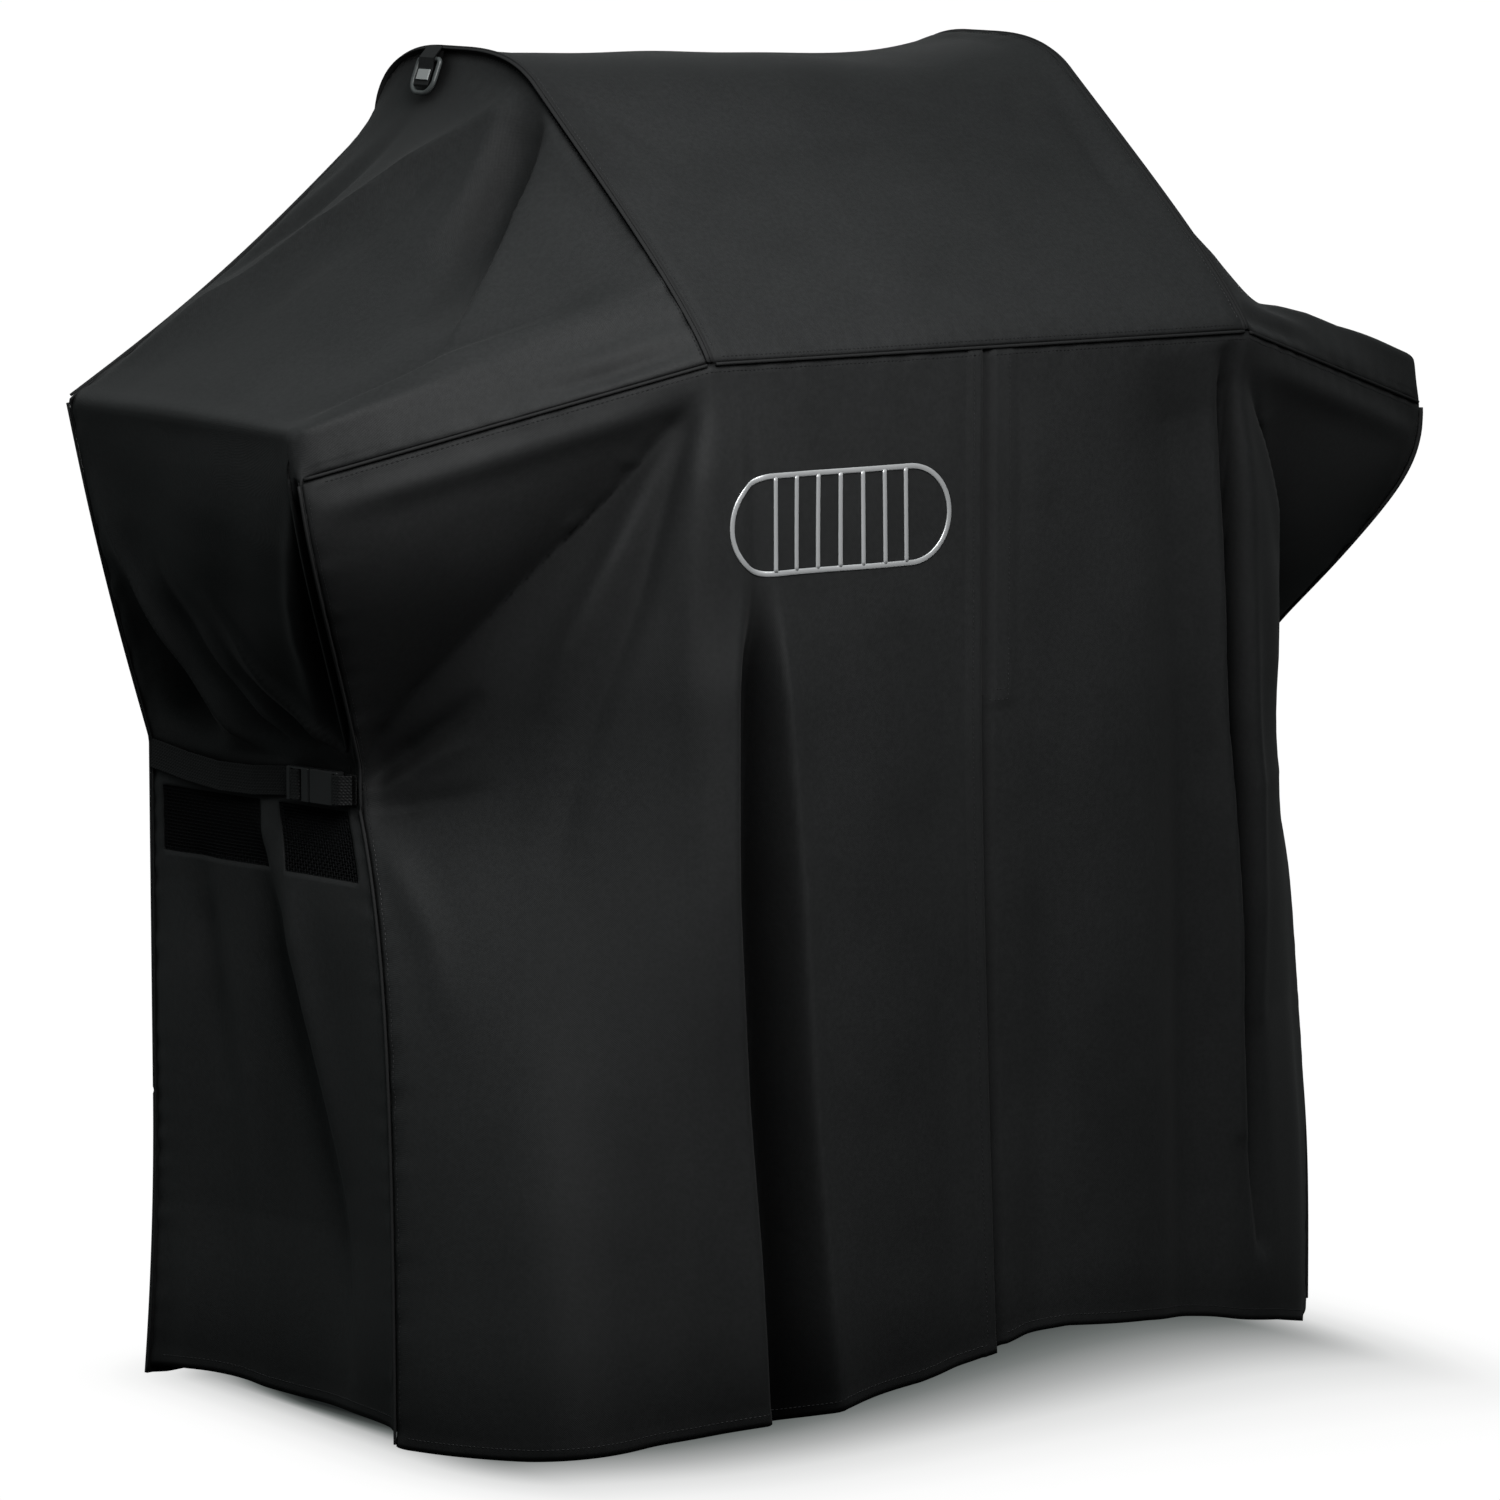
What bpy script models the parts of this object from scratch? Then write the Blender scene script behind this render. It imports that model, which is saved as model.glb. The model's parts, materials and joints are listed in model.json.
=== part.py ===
"""Fabric cover for a cart grill with two side shelves.

An arched hood drops to a front seam, two sloping ends run out over the shelves, and the
skirt is cinched below the shelves by a webbing strap and a side-release buckle on each side.
Metres, +Z up, +Y to the rear, left is -X, origin on the floor in the middle of the cover.
"""

import math

import bmesh
import bpy
from mathutils import Matrix, Vector

# ---- driving dimensions -------------------------------------------------------------------
CLOTH = 0.0016            # thickness of the coated cloth with its lining
SEAM_GAP = 0.003          # cloth stops this far from a seam line, where the binding sits
BINDING_R = 0.0014        # radius of the bound seam
END_TRIM = 0.005          # a binding stops this far short of the end of its seam
HEM_TRIM = 0.002          # the same at the hem

HOOD_HALF = 0.277         # half width of the hood, to the seam over the end of the lid
FRONT_Y = -0.244          # the hanging front
REAR_Y = 0.250            # the flat rear
SEAM_Z = 0.890            # height of the front seam
SHOULDER = (0.000, 1.100)  # where the front slope of the hood starts to round over (Y, Z)
CROWN = (0.110, 1.130)    # highest point of the hood (Y, Z)
CROWN_FLAT = 0.040        # depth of the level strip that lies on the lid
REAR_SHOULDER_Z = 1.065   # where the hood meets the rear panel
RIDGE_SAG = 0.010         # how far the crown hangs between the two end seams

SHELF_HALF = 0.585        # half width over the shelves
SHELF_Z = 0.8425          # top of the shelves
SHELF_FRONT_Y = -0.111    # front corner of the shelves
SHELF_SEAM_Z = 0.803      # front seam at the shelf corner
BAND_ARCH = 0.22          # where the crease above the front seam meets the hood seam
END_SAG = 0.055           # how far the sloping end hangs between hood and shelf
ROOF_EDGE_SAG = 0.012     # the same along its rear edge

CINCH_Z = 0.532           # height of the strap
CINCH_HALF = 0.019        # half height of the straight band under the strap
CINCH_TOP = CINCH_Z + CINCH_HALF
CINCH_BOTTOM = CINCH_Z - CINCH_HALF
CINCH_FRONT = (0.460, -0.003)  # front corner where the strap pulls in (|X|, Y)
REAR_HALF = 0.508         # half width of the rear panel at the strap
HEM_FRONT = (0.486, -0.090)    # front corner far down, towards the hem (|X|, Y)
FRONT_FLARE_DROP = 0.12   # the front corner flares exponentially over this height
REAR_FLARE = 0.012        # extra half width of the rear panel on the floor
REAR_FLARE_TOP = 0.25     # the rear flare starts at this height
SKIRT_HEM_Z = 0.012       # the side skirts end this far above the floor
SKIRT_FOLD = 0.030        # how far the side skirt falls inwards in the middle
SKIRT_FOLD_DROP = 0.30    # the fold reaches full depth over this height

VENT_ROWS = (0.458, 0.513)  # bottom and top of the vents
VENT_CLEAR = 0.0007
VENT_MESH_T = 0.0008

SIDES = ((-1, "left"), (1, "right"))

# Base colour, roughness, metallic.
LOOKS = {
    "cloth": ((0.020, 0.021, 0.022), 0.62, 0.0),
    "cloth_side": ((0.014, 0.015, 0.016), 0.66, 0.0),
    "binding": ((0.008, 0.008, 0.009), 0.80, 0.0),
    "webbing": ((0.016, 0.016, 0.017), 0.75, 0.0),
    "mesh": ((0.010, 0.011, 0.012), 0.85, 0.0),
    "plastic": ((0.012, 0.012, 0.013), 0.35, 0.0),
    "silver": ((0.72, 0.73, 0.74), 0.35, 0.6),
}


# ---- objects and materials ----------------------------------------------------------------
def clear_scene():
    for old in list(bpy.data.objects):
        bpy.data.objects.remove(old, do_unlink=True)


def material_for(name, look):
    colour, roughness, metallic = LOOKS[look]
    material = bpy.data.materials.new(name)
    material.use_nodes = True
    shader = material.node_tree.nodes["Principled BSDF"]
    shader.inputs["Base Color"].default_value = (*colour, 1.0)
    shader.inputs["Roughness"].default_value = roughness
    shader.inputs["Metallic"].default_value = metallic
    return material


def new_object(name, data, look):
    obj = bpy.data.objects.new(name, data)
    data.materials.append(material_for(name + "_mat", look))
    bpy.context.scene.collection.objects.link(obj)
    return obj


def mesh_object(name, shape, look):
    """Turns the bmesh into an object and frees it."""
    mesh = bpy.data.meshes.new(name)
    shape.to_mesh(mesh)
    shape.free()
    return new_object(name, mesh, look)


def move_origin(obj, point):
    """Puts the object's origin at point and leaves its shape where it is."""
    obj.data.transform(Matrix.Translation(-point))
    obj.location = point


def thicken(obj, thickness, offset):
    """Offset -1 grows the sheet inwards only, 0 grows it equally to both sides."""
    solidify = obj.modifiers.new("thickness", "SOLIDIFY")
    solidify.thickness = thickness
    solidify.offset = offset
    solidify.use_even_offset = True


# ---- general shapes -----------------------------------------------------------------------
def lerp(start, end, part):
    return start + (end - start) * part


def pull(point, target, length):
    """The point moved towards target by the given length."""
    return point + (target - point).normalized() * length


def trimmed(rows, top=0.0, bottom=0.0, left=0.0, right=0.0):
    """The grid with each border moved inwards along the sheet by the given length."""
    rows = [[Vector(point) for point in row] for row in rows]
    rows[0] = [pull(edge, inside, top) for edge, inside in zip(rows[0], rows[1])]
    rows[-1] = [pull(edge, inside, bottom) for edge, inside in zip(rows[-1], rows[-2])]
    for row in rows:
        row[0] = pull(row[0], row[1], left)
        row[-1] = pull(row[-1], row[-2], right)
    return rows


def sheet(name, rows, look, outward, thickness=CLOTH, skip=()):
    """A cloth panel: a grid of points on its outer face, given thickness on the inside.

    The (row, column) cells in skip are left open.
    """
    shape = bmesh.new()
    grid = [[shape.verts.new(point) for point in row] for row in rows]
    for i in range(len(rows) - 1):
        for j in range(len(rows[0]) - 1):
            if (i, j) in skip:
                continue
            shape.faces.new((grid[i][j], grid[i][j + 1], grid[i + 1][j + 1], grid[i + 1][j]))
    loose = [vert for vert in shape.verts if not vert.link_faces]
    bmesh.ops.delete(shape, geom=loose, context="VERTS")
    shape.normal_update()
    facing = sum((face.normal * face.calc_area() for face in shape.faces), Vector())
    if facing.dot(Vector(outward)) < 0:
        bmesh.ops.reverse_faces(shape, faces=shape.faces[:])
    panel = mesh_object(name, shape, look)
    thicken(panel, thickness, -1.0)
    return panel


def ribbon(name, path, half_width, thickness):
    """Flat webbing along the path; half_width is a vector across it."""
    shape = bmesh.new()
    low = [shape.verts.new(point - half_width) for point in path]
    high = [shape.verts.new(point + half_width) for point in path]
    for i in range(len(path) - 1):
        shape.faces.new((low[i], low[i + 1], high[i + 1], high[i]))
    shape.normal_update()
    webbing = mesh_object(name, shape, "webbing")
    thicken(webbing, thickness, 0.0)
    return webbing


def tube(name, points, radius, look, cyclic=False, resolution=0):
    """A round cord along the points."""
    curve = bpy.data.curves.new(name, "CURVE")
    curve.dimensions = "3D"
    curve.bevel_depth = radius
    curve.bevel_resolution = resolution
    curve.use_fill_caps = True
    spline = curve.splines.new("POLY")
    spline.points.add(len(points) - 1)
    for slot, point in zip(spline.points, points):
        slot.co = (*point, 1.0)
    spline.use_cyclic_u = cyclic
    return new_object(name, curve, look)


def binding(name, points, end_trim=END_TRIM):
    """A bound seam along the points, stopping short of both ends."""
    points = [Vector(point) for point in points]
    points[0] = pull(points[0], points[1], END_TRIM)
    points[-1] = pull(points[-1], points[-2], end_trim)
    tube(name, points, BINDING_R, "binding")


def extrude_all(shape, offset):
    """Extrudes every face of the flat shape by the offset."""
    grown = bmesh.ops.extrude_face_region(shape, geom=shape.faces[:])
    moved = [item for item in grown["geom"] if isinstance(item, bmesh.types.BMVert)]
    bmesh.ops.translate(shape, vec=offset, verts=moved)
    bmesh.ops.recalc_face_normals(shape, faces=shape.faces[:])


def block(name, low, high, bevel=0.0):
    """A plastic box between two corners, with its edges chamfered if bevel is given."""
    shape = bmesh.new()
    bmesh.ops.create_cube(shape, size=1.0)
    bmesh.ops.scale(shape, vec=Vector(high) - Vector(low), verts=shape.verts)
    bmesh.ops.translate(shape, vec=(Vector(high) + Vector(low)) / 2, verts=shape.verts)
    if bevel:
        bmesh.ops.bevel(shape, geom=shape.edges[:], offset=bevel, segments=1, affect="EDGES")
    return mesh_object(name, shape, "plastic")


def combine(obj, action, low, high, parent):
    """Cuts a box out of obj ("cut") or adds one to it ("add"), in the frame of parent."""
    tool = block(f"{obj.name}_{action}_{len(obj.modifiers)}", low, high)
    tool.parent = parent
    tool.hide_render = True
    tool.display_type = "WIRE"
    modifier = obj.modifiers.new(tool.name, "BOOLEAN")
    modifier.operation = {"cut": "DIFFERENCE", "add": "UNION"}[action]
    modifier.solver = "EXACT"
    modifier.object = tool


# ---- outlines of the cover ----------------------------------------------------------------
def bezier(start, pull_start, pull_end, end, t):
    s = 1 - t
    weights = (s**3, 3 * s * s * t, 3 * s * t * t, t**3)
    points = (start, pull_start, pull_end, end)
    return tuple(sum(w * point[axis] for w, point in zip(weights, points)) for axis in (0, 1))


def slope(part):
    """Point (Y, Z) on the straight front slope of the hood, from the seam to the shoulder."""
    return lerp(FRONT_Y, SHOULDER[0], part), lerp(SEAM_Z, SHOULDER[1], part)


def front_round(part):
    return bezier(SHOULDER, (0.030, 1.126), (0.070, CROWN[1]), CROWN, part)


def rear_round(part):
    start = (CROWN[0] + CROWN_FLAT, CROWN[1])
    return bezier(start, (0.200, CROWN[1]), (0.246, 1.112), (REAR_Y, REAR_SHOULDER_Z), part)


# The hood's side view, one (Y, Z) point for each lengthwise line of the sloping ends.
ARCH = [slope(part) for part in (0.0, BAND_ARCH, 0.48, 0.74, 1.0)]
ARCH += [front_round(0.5), CROWN]
ARCH += [rear_round(part) for part in (0.0, 0.35, 0.7, 1.0)]
LAST = len(ARCH) - 1

# Y of the same lines at the shelf edge.
SHELF_Y = (
    SHELF_FRONT_Y, SHELF_FRONT_Y + 0.004, -0.062, -0.018, 0.026, 0.064,
    0.102, 0.140, 0.178, 0.215, REAR_Y,
)

# Share of RIDGE_SAG at each line, and share of END_SAG at each line but the last.
RIDGE_SAG_SHARES = (0.0, 0.15, 0.4, 0.7, 1.0, 1.0, 1.0, 1.0, 0.9, 0.5, 0.0)
END_SAG_SHARES = (0.0, 0.0, 0.35, 0.75, 1.0, 1.0, 1.0, 1.0, 1.0, 0.5)
END_SAG_POWER = 0.55      # below 1 brings the deepest sag nearer to the hood

# Heights where the front panels and the corner bindings turn.
CORNER_Z = (SHELF_SEAM_Z, 0.680, CINCH_TOP, CINCH_BOTTOM)
CORNER_Z += (0.458, 0.360, 0.240, 0.120, 0.0)


def front_corner(z):
    """(|X|, Y) of the front corner seam at height z."""
    if z >= SHELF_SEAM_Z:
        return SHELF_HALF, SHELF_FRONT_Y
    if z >= CINCH_TOP:
        part = (z - CINCH_TOP) / (SHELF_SEAM_Z - CINCH_TOP)
        x = lerp(CINCH_FRONT[0], SHELF_HALF, part)
        return x, lerp(CINCH_FRONT[1], SHELF_FRONT_Y, part)
    if z >= CINCH_BOTTOM:
        return CINCH_FRONT
    part = 1 - math.exp(-(CINCH_BOTTOM - z) / FRONT_FLARE_DROP)
    x = lerp(CINCH_FRONT[0], HEM_FRONT[0], part)
    return x, lerp(CINCH_FRONT[1], HEM_FRONT[1], part)


def rear_corner(z):
    """|X| of the rear corner seam at height z."""
    if z >= CINCH_TOP:
        part = min(1.0, (z - CINCH_TOP) / (SHELF_Z - CINCH_TOP))
        return lerp(REAR_HALF, SHELF_HALF, part)
    return REAR_HALF + REAR_FLARE * max(0.0, 1 - z / REAR_FLARE_TOP) ** 2


# ---- hood ---------------------------------------------------------------------------------
HOOD_COLUMNS = 9


def build_hood():
    rows = []
    for (y, z), share in zip(ARCH, RIDGE_SAG_SHARES):
        row = []
        for i in range(HOOD_COLUMNS + 1):
            x = lerp(-HOOD_HALF, HOOD_HALF, i / HOOD_COLUMNS)
            row.append((x, y, z - RIDGE_SAG * share * (1 - (x / HOOD_HALF) ** 2)))
        rows.append(row)
    rows = trimmed(rows, SEAM_GAP, SEAM_GAP, SEAM_GAP, SEAM_GAP)
    sheet("hood_panel", rows, "cloth", (0, -0.3, 1))


# ---- sloping ends and side skirts ---------------------------------------------------------
END_STEPS = (0.0, 0.08, 0.20, 0.40, 0.60, 0.80, 1.0)   # from the hood seam to the shelf edge
END_FOOT_LIFT = 0.003     # the end panel stops this far above the middle of the strap
SIDE_LEVELS = (0.700, 0.620, CINCH_TOP, CINCH_Z + END_FOOT_LIFT)
CREASE_PART = 0.045       # place of the crease line (line 1) on the wall
SKIRT_LEVELS = (CINCH_Z, VENT_ROWS[1], VENT_ROWS[0], 0.360, 0.240, 0.120, SKIRT_HEM_Z)
SKIRT_STEPS = (0.0, 0.06, 0.22, 0.38, 0.47, 0.70, 0.94, 1.0)  # front to rear corner
VENT_CELLS = {(1, 1), (1, 2), (1, 4), (1, 5)}           # open (row, column) cells
VENT_STEPS = (("front", SKIRT_STEPS[1:4]), ("rear", SKIRT_STEPS[4:7]))


def end_point(side, line, part):
    """Point on the sloping end: line of the arch, part of the way out to the shelf edge.

    Between its borders the cloth drops steeply past the end of the lid and then runs out flat.
    """
    arch_y, arch_z = ARCH[line]
    shelf_z = SHELF_SEAM_Z if line == 0 else SHELF_Z
    if line == LAST:
        sag = ROOF_EDGE_SAG * math.sin(math.pi * part)
    else:
        sag = END_SAG_SHARES[line] * END_SAG * math.sin(math.pi * part**END_SAG_POWER)
    x = side * lerp(HOOD_HALF, SHELF_HALF, part)
    return Vector((x, lerp(arch_y, SHELF_Y[line], part), lerp(arch_z, shelf_z, part) - sag))


def wall_point(side, part, z):
    """Point on the side wall: part runs from the front corner to the rear corner."""
    front_x, front_y = front_corner(z)
    x = side * lerp(front_x, rear_corner(z), part)
    return Vector((x, lerp(front_y, REAR_Y, part), z))


def skirt_point(side, part, z):
    """The wall point with the inward fall of the skirt below the vents."""
    point = wall_point(side, part, z)
    fall = min(1.0, max(0.0, (VENT_ROWS[0] - z) / SKIRT_FOLD_DROP))
    point.x -= side * SKIRT_FOLD * math.sin(math.pi * part) * fall
    return point


def build_end_panel(side, word):
    """Sloping end and the wall below it, down to the strap."""
    columns = []
    for line in range(len(ARCH)):
        part = (SHELF_Y[line] - SHELF_FRONT_Y) / (REAR_Y - SHELF_FRONT_Y)
        if line == 1:
            part = CREASE_PART
        column = [end_point(side, line, step) for step in END_STEPS]
        column += [wall_point(side, part, z) for z in SIDE_LEVELS]
        columns.append(column)
    columns = trimmed(columns, SEAM_GAP, SEAM_GAP, SEAM_GAP, 0.0)
    sheet(f"{word}_end_panel", columns, "cloth_side", (side, 0, 0.6))


def build_side_skirt(side, word):
    rows = [[skirt_point(side, part, z) for part in SKIRT_STEPS] for z in SKIRT_LEVELS]
    rows = trimmed(rows, left=SEAM_GAP, right=SEAM_GAP)
    sheet(f"{word}_side_skirt", rows, "cloth_side", (side, 0, 0), skip=VENT_CELLS)


def build_vents(side, word):
    for place, parts in VENT_STEPS:
        rows = [[skirt_point(side, part, z) for part in parts] for z in VENT_ROWS[::-1]]
        rows = trimmed(rows, VENT_CLEAR, VENT_CLEAR, VENT_CLEAR, VENT_CLEAR)
        sheet(f"{word}_{place}_vent_mesh", rows, "mesh", (side, 0, 0), VENT_MESH_T)


# ---- front --------------------------------------------------------------------------------
HEM_RISE = 0.057          # the front hem is highest at HEM_RISE_X
HEM_RISE_X = 0.090
HEM_FLOOR_GAP = 0.0003
HEM_LEFT_CURVE = (0.50, 3.0)   # width of the rise and its power, left of HEM_RISE_X
HEM_RIGHT_CURVE = (0.40, 1.5)  # the same to the right

SLIT_TOP_Z = 0.595        # top of the open slit
SLIT_X = -0.0055          # its visible edge
PANEL_OFFSET = 0.001      # the right panel starts this far right of the edge
FLAP_OFFSET = 0.010       # right of here the right flap lies flush with the front
STEP_X = -0.0012          # the right flap is dropped back from here leftwards
STEP_HEM_X = -0.001       # the hem height there is taken at this X
UNDERLAP_X = -0.020       # the lower layer runs this far behind the upper one
UNDERLAP_DROP = 0.0028
FOLD_SLOPE = 0.3513       # slope of the diagonal fold lines, dx/dz
FOLD_TOP = {-1: -0.048, 1: 0.008}  # X of the fold line at the top of the slit, by side
FOLD_GAP = 0.0012
HALF_GAP_X = 0.5 * FOLD_GAP * math.hypot(1.0, FOLD_SLOPE)  # half the gap, measured along X

# The front swings out at the hem, as far forward as the rear seam is back.
SWING_STEP = 0.75
HEM_SWING = REAR_Y + BINDING_R + lerp(front_corner(0.0)[1], FRONT_Y, SWING_STEP)
HEM_SWING /= math.sin(SWING_STEP * math.pi)
SWING_POWER = 1.5
KNEE_X = HOOD_HALF + 0.002     # where the wing meets the flat front

WING_STEPS = (0.0, 0.25, 0.5, 0.75, 1.0)   # from the front corner to the knee
ROW_PARTS = [0.0] + [1 - z / (SHELF_SEAM_Z - SEAM_GAP) for z in CORNER_Z[1:]]
CLOSED_EDGE_Z = (SEAM_Z - SEAM_GAP, 0.74, SLIT_TOP_Z + 0.0018)  # rows above the slit
FOLD_EDGE_TOP_Z = SLIT_TOP_Z + 0.0012
FOLD_EDGE_PARTS = (0.0, 0.2, 0.4, 0.6, 0.8, 1.0)
FLAP_ROWS = (0.0, 0.22, 0.44, 0.66, 0.84, 1.0)   # down the flap
FLAP_COLUMNS = (0.0, 0.33, 0.66, 1.0)            # from the fold line to the slit

FACING_X = (-0.018, 0.024)
FACING_Z = (SEAM_Z - 0.012, 0.75, SLIT_TOP_Z + 0.006)
FACING_GAP = 0.0010
FACING_T = 0.0012


def hem_height(x):
    """The front hem rises towards HEM_RISE_X and comes down to the floor at the corners."""
    width, power = HEM_LEFT_CURVE if x < HEM_RISE_X else HEM_RIGHT_CURVE
    part = min(1.0, abs(x - HEM_RISE_X) / width)
    return HEM_FLOOR_GAP + HEM_RISE * math.cos(part * math.pi / 2) ** power


def fold_x(side, z):
    """X of the diagonal fold line beside the slit at height z, and of its extension."""
    return FOLD_TOP[side] + side * FOLD_SLOPE * (SLIT_TOP_Z - z)


def fold_end(side):
    """The fold line's lower end, on the hem, found by repeated substitution."""
    z = 0.03
    for _ in range(12):
        z = hem_height(fold_x(side, z))
    return Vector((fold_x(side, z), FRONT_Y, z))


def wing_row(side, part):
    """Points from the front corner to the knee, part of the way from seam to hem."""
    row = []
    for step in WING_STEPS:
        seam_z = lerp(SHELF_SEAM_Z, SEAM_Z, step) - SEAM_GAP
        foot_x = lerp(HEM_FRONT[0], HOOD_HALF, step)
        z = lerp(seam_z, hem_height(side * foot_x), part)
        corner_x, corner_y = front_corner(z)
        bulge = HEM_SWING * math.sin(math.pi * step) * part**SWING_POWER
        x = lerp(corner_x, KNEE_X, step) + bulge * 0.5
        row.append(Vector((side * x, lerp(corner_y, FRONT_Y, step) - bulge, z)))
    return row


def build_front_panel(side, word):
    """Front from the corner seam to the middle, and below the slit's top to the fold line."""
    edge_x = SLIT_X if side < 0 else SLIT_X + PANEL_OFFSET
    inner_edge = [(edge_x, z) for z in CLOSED_EDGE_Z]
    for part in FOLD_EDGE_PARTS:
        z = lerp(FOLD_EDGE_TOP_Z, fold_end(side).z, part)
        inner_edge.append((fold_x(side, z) + side * HALF_GAP_X, z))
    rows = []
    for part, (x, z) in zip(ROW_PARTS, inner_edge):
        row = wing_row(side, part)
        knee = row[-1]
        row.append(Vector((lerp(knee.x, x, 0.5), FRONT_Y, lerp(knee.z, z, 0.5))))
        row.append(Vector((x, FRONT_Y, z)))
        rows.append(row)
    hem_middle = rows[-1][-2]
    hem_middle.z = hem_height(hem_middle.x)
    sheet(f"front_{word}_panel", trimmed(rows, left=SEAM_GAP), "cloth", (0, -1, 0))


def build_flap(side, word):
    """The loose corner between the fold line and the slit; the right one runs on behind."""
    low = fold_end(side)
    free_x = SLIT_X if side < 0 else SLIT_X + FLAP_OFFSET
    rows = []
    for down in FLAP_ROWS:
        row = []
        for part in FLAP_COLUMNS:
            z = lerp(SLIT_TOP_Z, hem_height(lerp(low.x, free_x, part)), down)
            x = lerp(fold_x(side, z) - side * HALF_GAP_X, free_x, part)
            row.append(Vector((x, FRONT_Y, z)))
        if side > 0:
            for x, hem_x in ((STEP_X, STEP_HEM_X), (UNDERLAP_X, UNDERLAP_X)):
                z = lerp(SLIT_TOP_Z, hem_height(hem_x), down)
                row.append(Vector((x, FRONT_Y + UNDERLAP_DROP, z)))
        rows.append(row)
    flap = sheet(f"front_{word}_flap", rows, "cloth", (0, -1, 0))
    move_origin(flap, low)


def build_facing():
    """Facing strip sewn behind the closed part of the opening."""
    y = FRONT_Y + CLOTH + FACING_GAP
    rows = [[(x, y, z) for x in FACING_X] for z in FACING_Z]
    sheet("placket_facing", rows, "binding", (0, -1, 0), FACING_T)


# ---- rear ---------------------------------------------------------------------------------
# Shares of the half width; 0.4735 falls on the hood seam.
REAR_COLUMNS = (-1.0, -0.82, -0.64, -0.4735, -0.24, 0.0, 0.24, 0.4735, 0.64, 0.82, 1.0)
REAR_LEVELS = (0.740, 0.640) + CORNER_Z[2:]


def roof_line(x):
    """Height of the rear panel's top edge at x."""
    part = (abs(x) - HOOD_HALF) / (SHELF_HALF - HOOD_HALF)
    part = min(1.0, max(0.0, part))
    return lerp(REAR_SHOULDER_Z, SHELF_Z, part) - ROOF_EDGE_SAG * math.sin(math.pi * part)


def build_rear():
    top = [share * SHELF_HALF for share in REAR_COLUMNS]
    rows = [[(x, REAR_Y, roof_line(x)) for x in top]]
    for z in REAR_LEVELS:
        rows.append([(share * rear_corner(z), REAR_Y, z) for share in REAR_COLUMNS])
    rows = trimmed(rows, SEAM_GAP, 0.0, SEAM_GAP, SEAM_GAP)
    sheet("rear_panel", rows, "cloth_side", (0, 1, 0))


# ---- bound seams --------------------------------------------------------------------------
def build_side_bindings(side, word):
    binding(f"{word}_arch_binding", [(side * HOOD_HALF, y, z) for y, z in ARCH])

    foot = Vector((side * HOOD_HALF, FRONT_Y, SEAM_Z))
    tip = Vector((side * SHELF_HALF, SHELF_FRONT_Y, SHELF_SEAM_Z))
    binding(f"{word}_shelf_binding", [foot, foot.lerp(tip, 0.5), tip])

    corner = [(side * front_corner(z)[0], front_corner(z)[1], z) for z in CORNER_Z]
    binding(f"{word}_front_corner_binding", corner, HEM_TRIM)

    levels = (SHELF_Z,) + CORNER_Z[2:]
    corner = [(side * rear_corner(z), REAR_Y, z) for z in levels]
    binding(f"{word}_rear_corner_binding", corner, HEM_TRIM)

    binding(f"{word}_roof_binding", [end_point(side, LAST, step) for step in END_STEPS])


def build_cross_bindings():
    """The level seams along the front and rear of the hood."""
    for word, y, z in (("front", FRONT_Y, SEAM_Z), ("rear", REAR_Y, REAR_SHOULDER_Z)):
        binding(f"{word}_seam_binding", [(x, y, z) for x in (-HOOD_HALF, 0.0, HOOD_HALF)])


# ---- straps and buckles -------------------------------------------------------------------
# The strap frame sits on the front corner: X along the strap to the rear, Y outward, Z across.
WEB_W = 0.025
WEB_T = 0.0011
WEB_UNDER = 0.0012        # middle of the webbing where it runs under the buckle
BUCKLE_H = 0.029
BUCKLE_T = 0.009
BUCKLE_UNDER = 0.0022     # underside of the buckle above the cloth
BUCKLE_OVER = BUCKLE_UNDER + BUCKLE_T
BUCKLE_BEVEL = 0.0012
WEB_OVER = BUCKLE_OVER + 0.0014   # middle of the webbing where it runs over a bar

SOCKET = (0.016, 0.050)   # start and end along the strap
PLUG = (0.0506, 0.0780)
SOCKET_BAR = 0.0030       # the bar in front of the socket's slot
SOCKET_SLOT = (SOCKET[0] + SOCKET_BAR, SOCKET[0] + SOCKET_BAR + 0.0032)
PLUG_SLOTS = ((0.0590, 0.0628), (0.0690, 0.0728))
SLOT_SHAPE = (-0.002, 0.0132)   # inset and half width as below; cuts right through

# Boxes in a buckle part: start, end, inset from its outer and under faces, half width across.
SOCKET_CUTS = (
    (0.0240, 0.0520, 0.0018, 0.0125),   # hollow, open to the rear
    (0.0290, 0.0420, 0.0022, 0.0200),   # window in the upper and lower edge
    (*SOCKET_SLOT, *SLOT_SHAPE),
)
PLUG_GUIDE = (0.0300, PLUG[0] + 0.004, 0.0030, 0.0022)   # centre guide inside the socket

PRONG_ROOT = 0.0502
PRONG_INSET = 0.0026      # from the outer and under faces of the buckle
ARM_INNER = 0.0052        # the sprung arm, measured from the strap's middle line
ARM_OUTER = 0.0086
ARM_MIDDLE = (ARM_INNER + ARM_OUTER) / 2
# Arm and catch: along the strap from the root, distance from the middle line.
PRONG_OUTLINE = (
    (0.0, ARM_INNER), (-0.0150, ARM_INNER), (-0.0165, 0.0070), (-0.0165, 0.0100),
    (-0.0120, 0.0136), (-0.0098, 0.0136), (-0.0098, ARM_OUTER), (0.0, ARM_OUTER),
)


def buckle_box(start, end, inset, half_width):
    """Low and high corner of a box in the strap frame."""
    low = (start, BUCKLE_UNDER + inset, -half_width)
    return low, (end, BUCKLE_OVER - inset, half_width)


def buckle_body(name, extent, frame):
    body = block(name, *buckle_box(*extent, 0.0, BUCKLE_H / 2), bevel=BUCKLE_BEVEL)
    body.parent = frame
    return body


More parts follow.
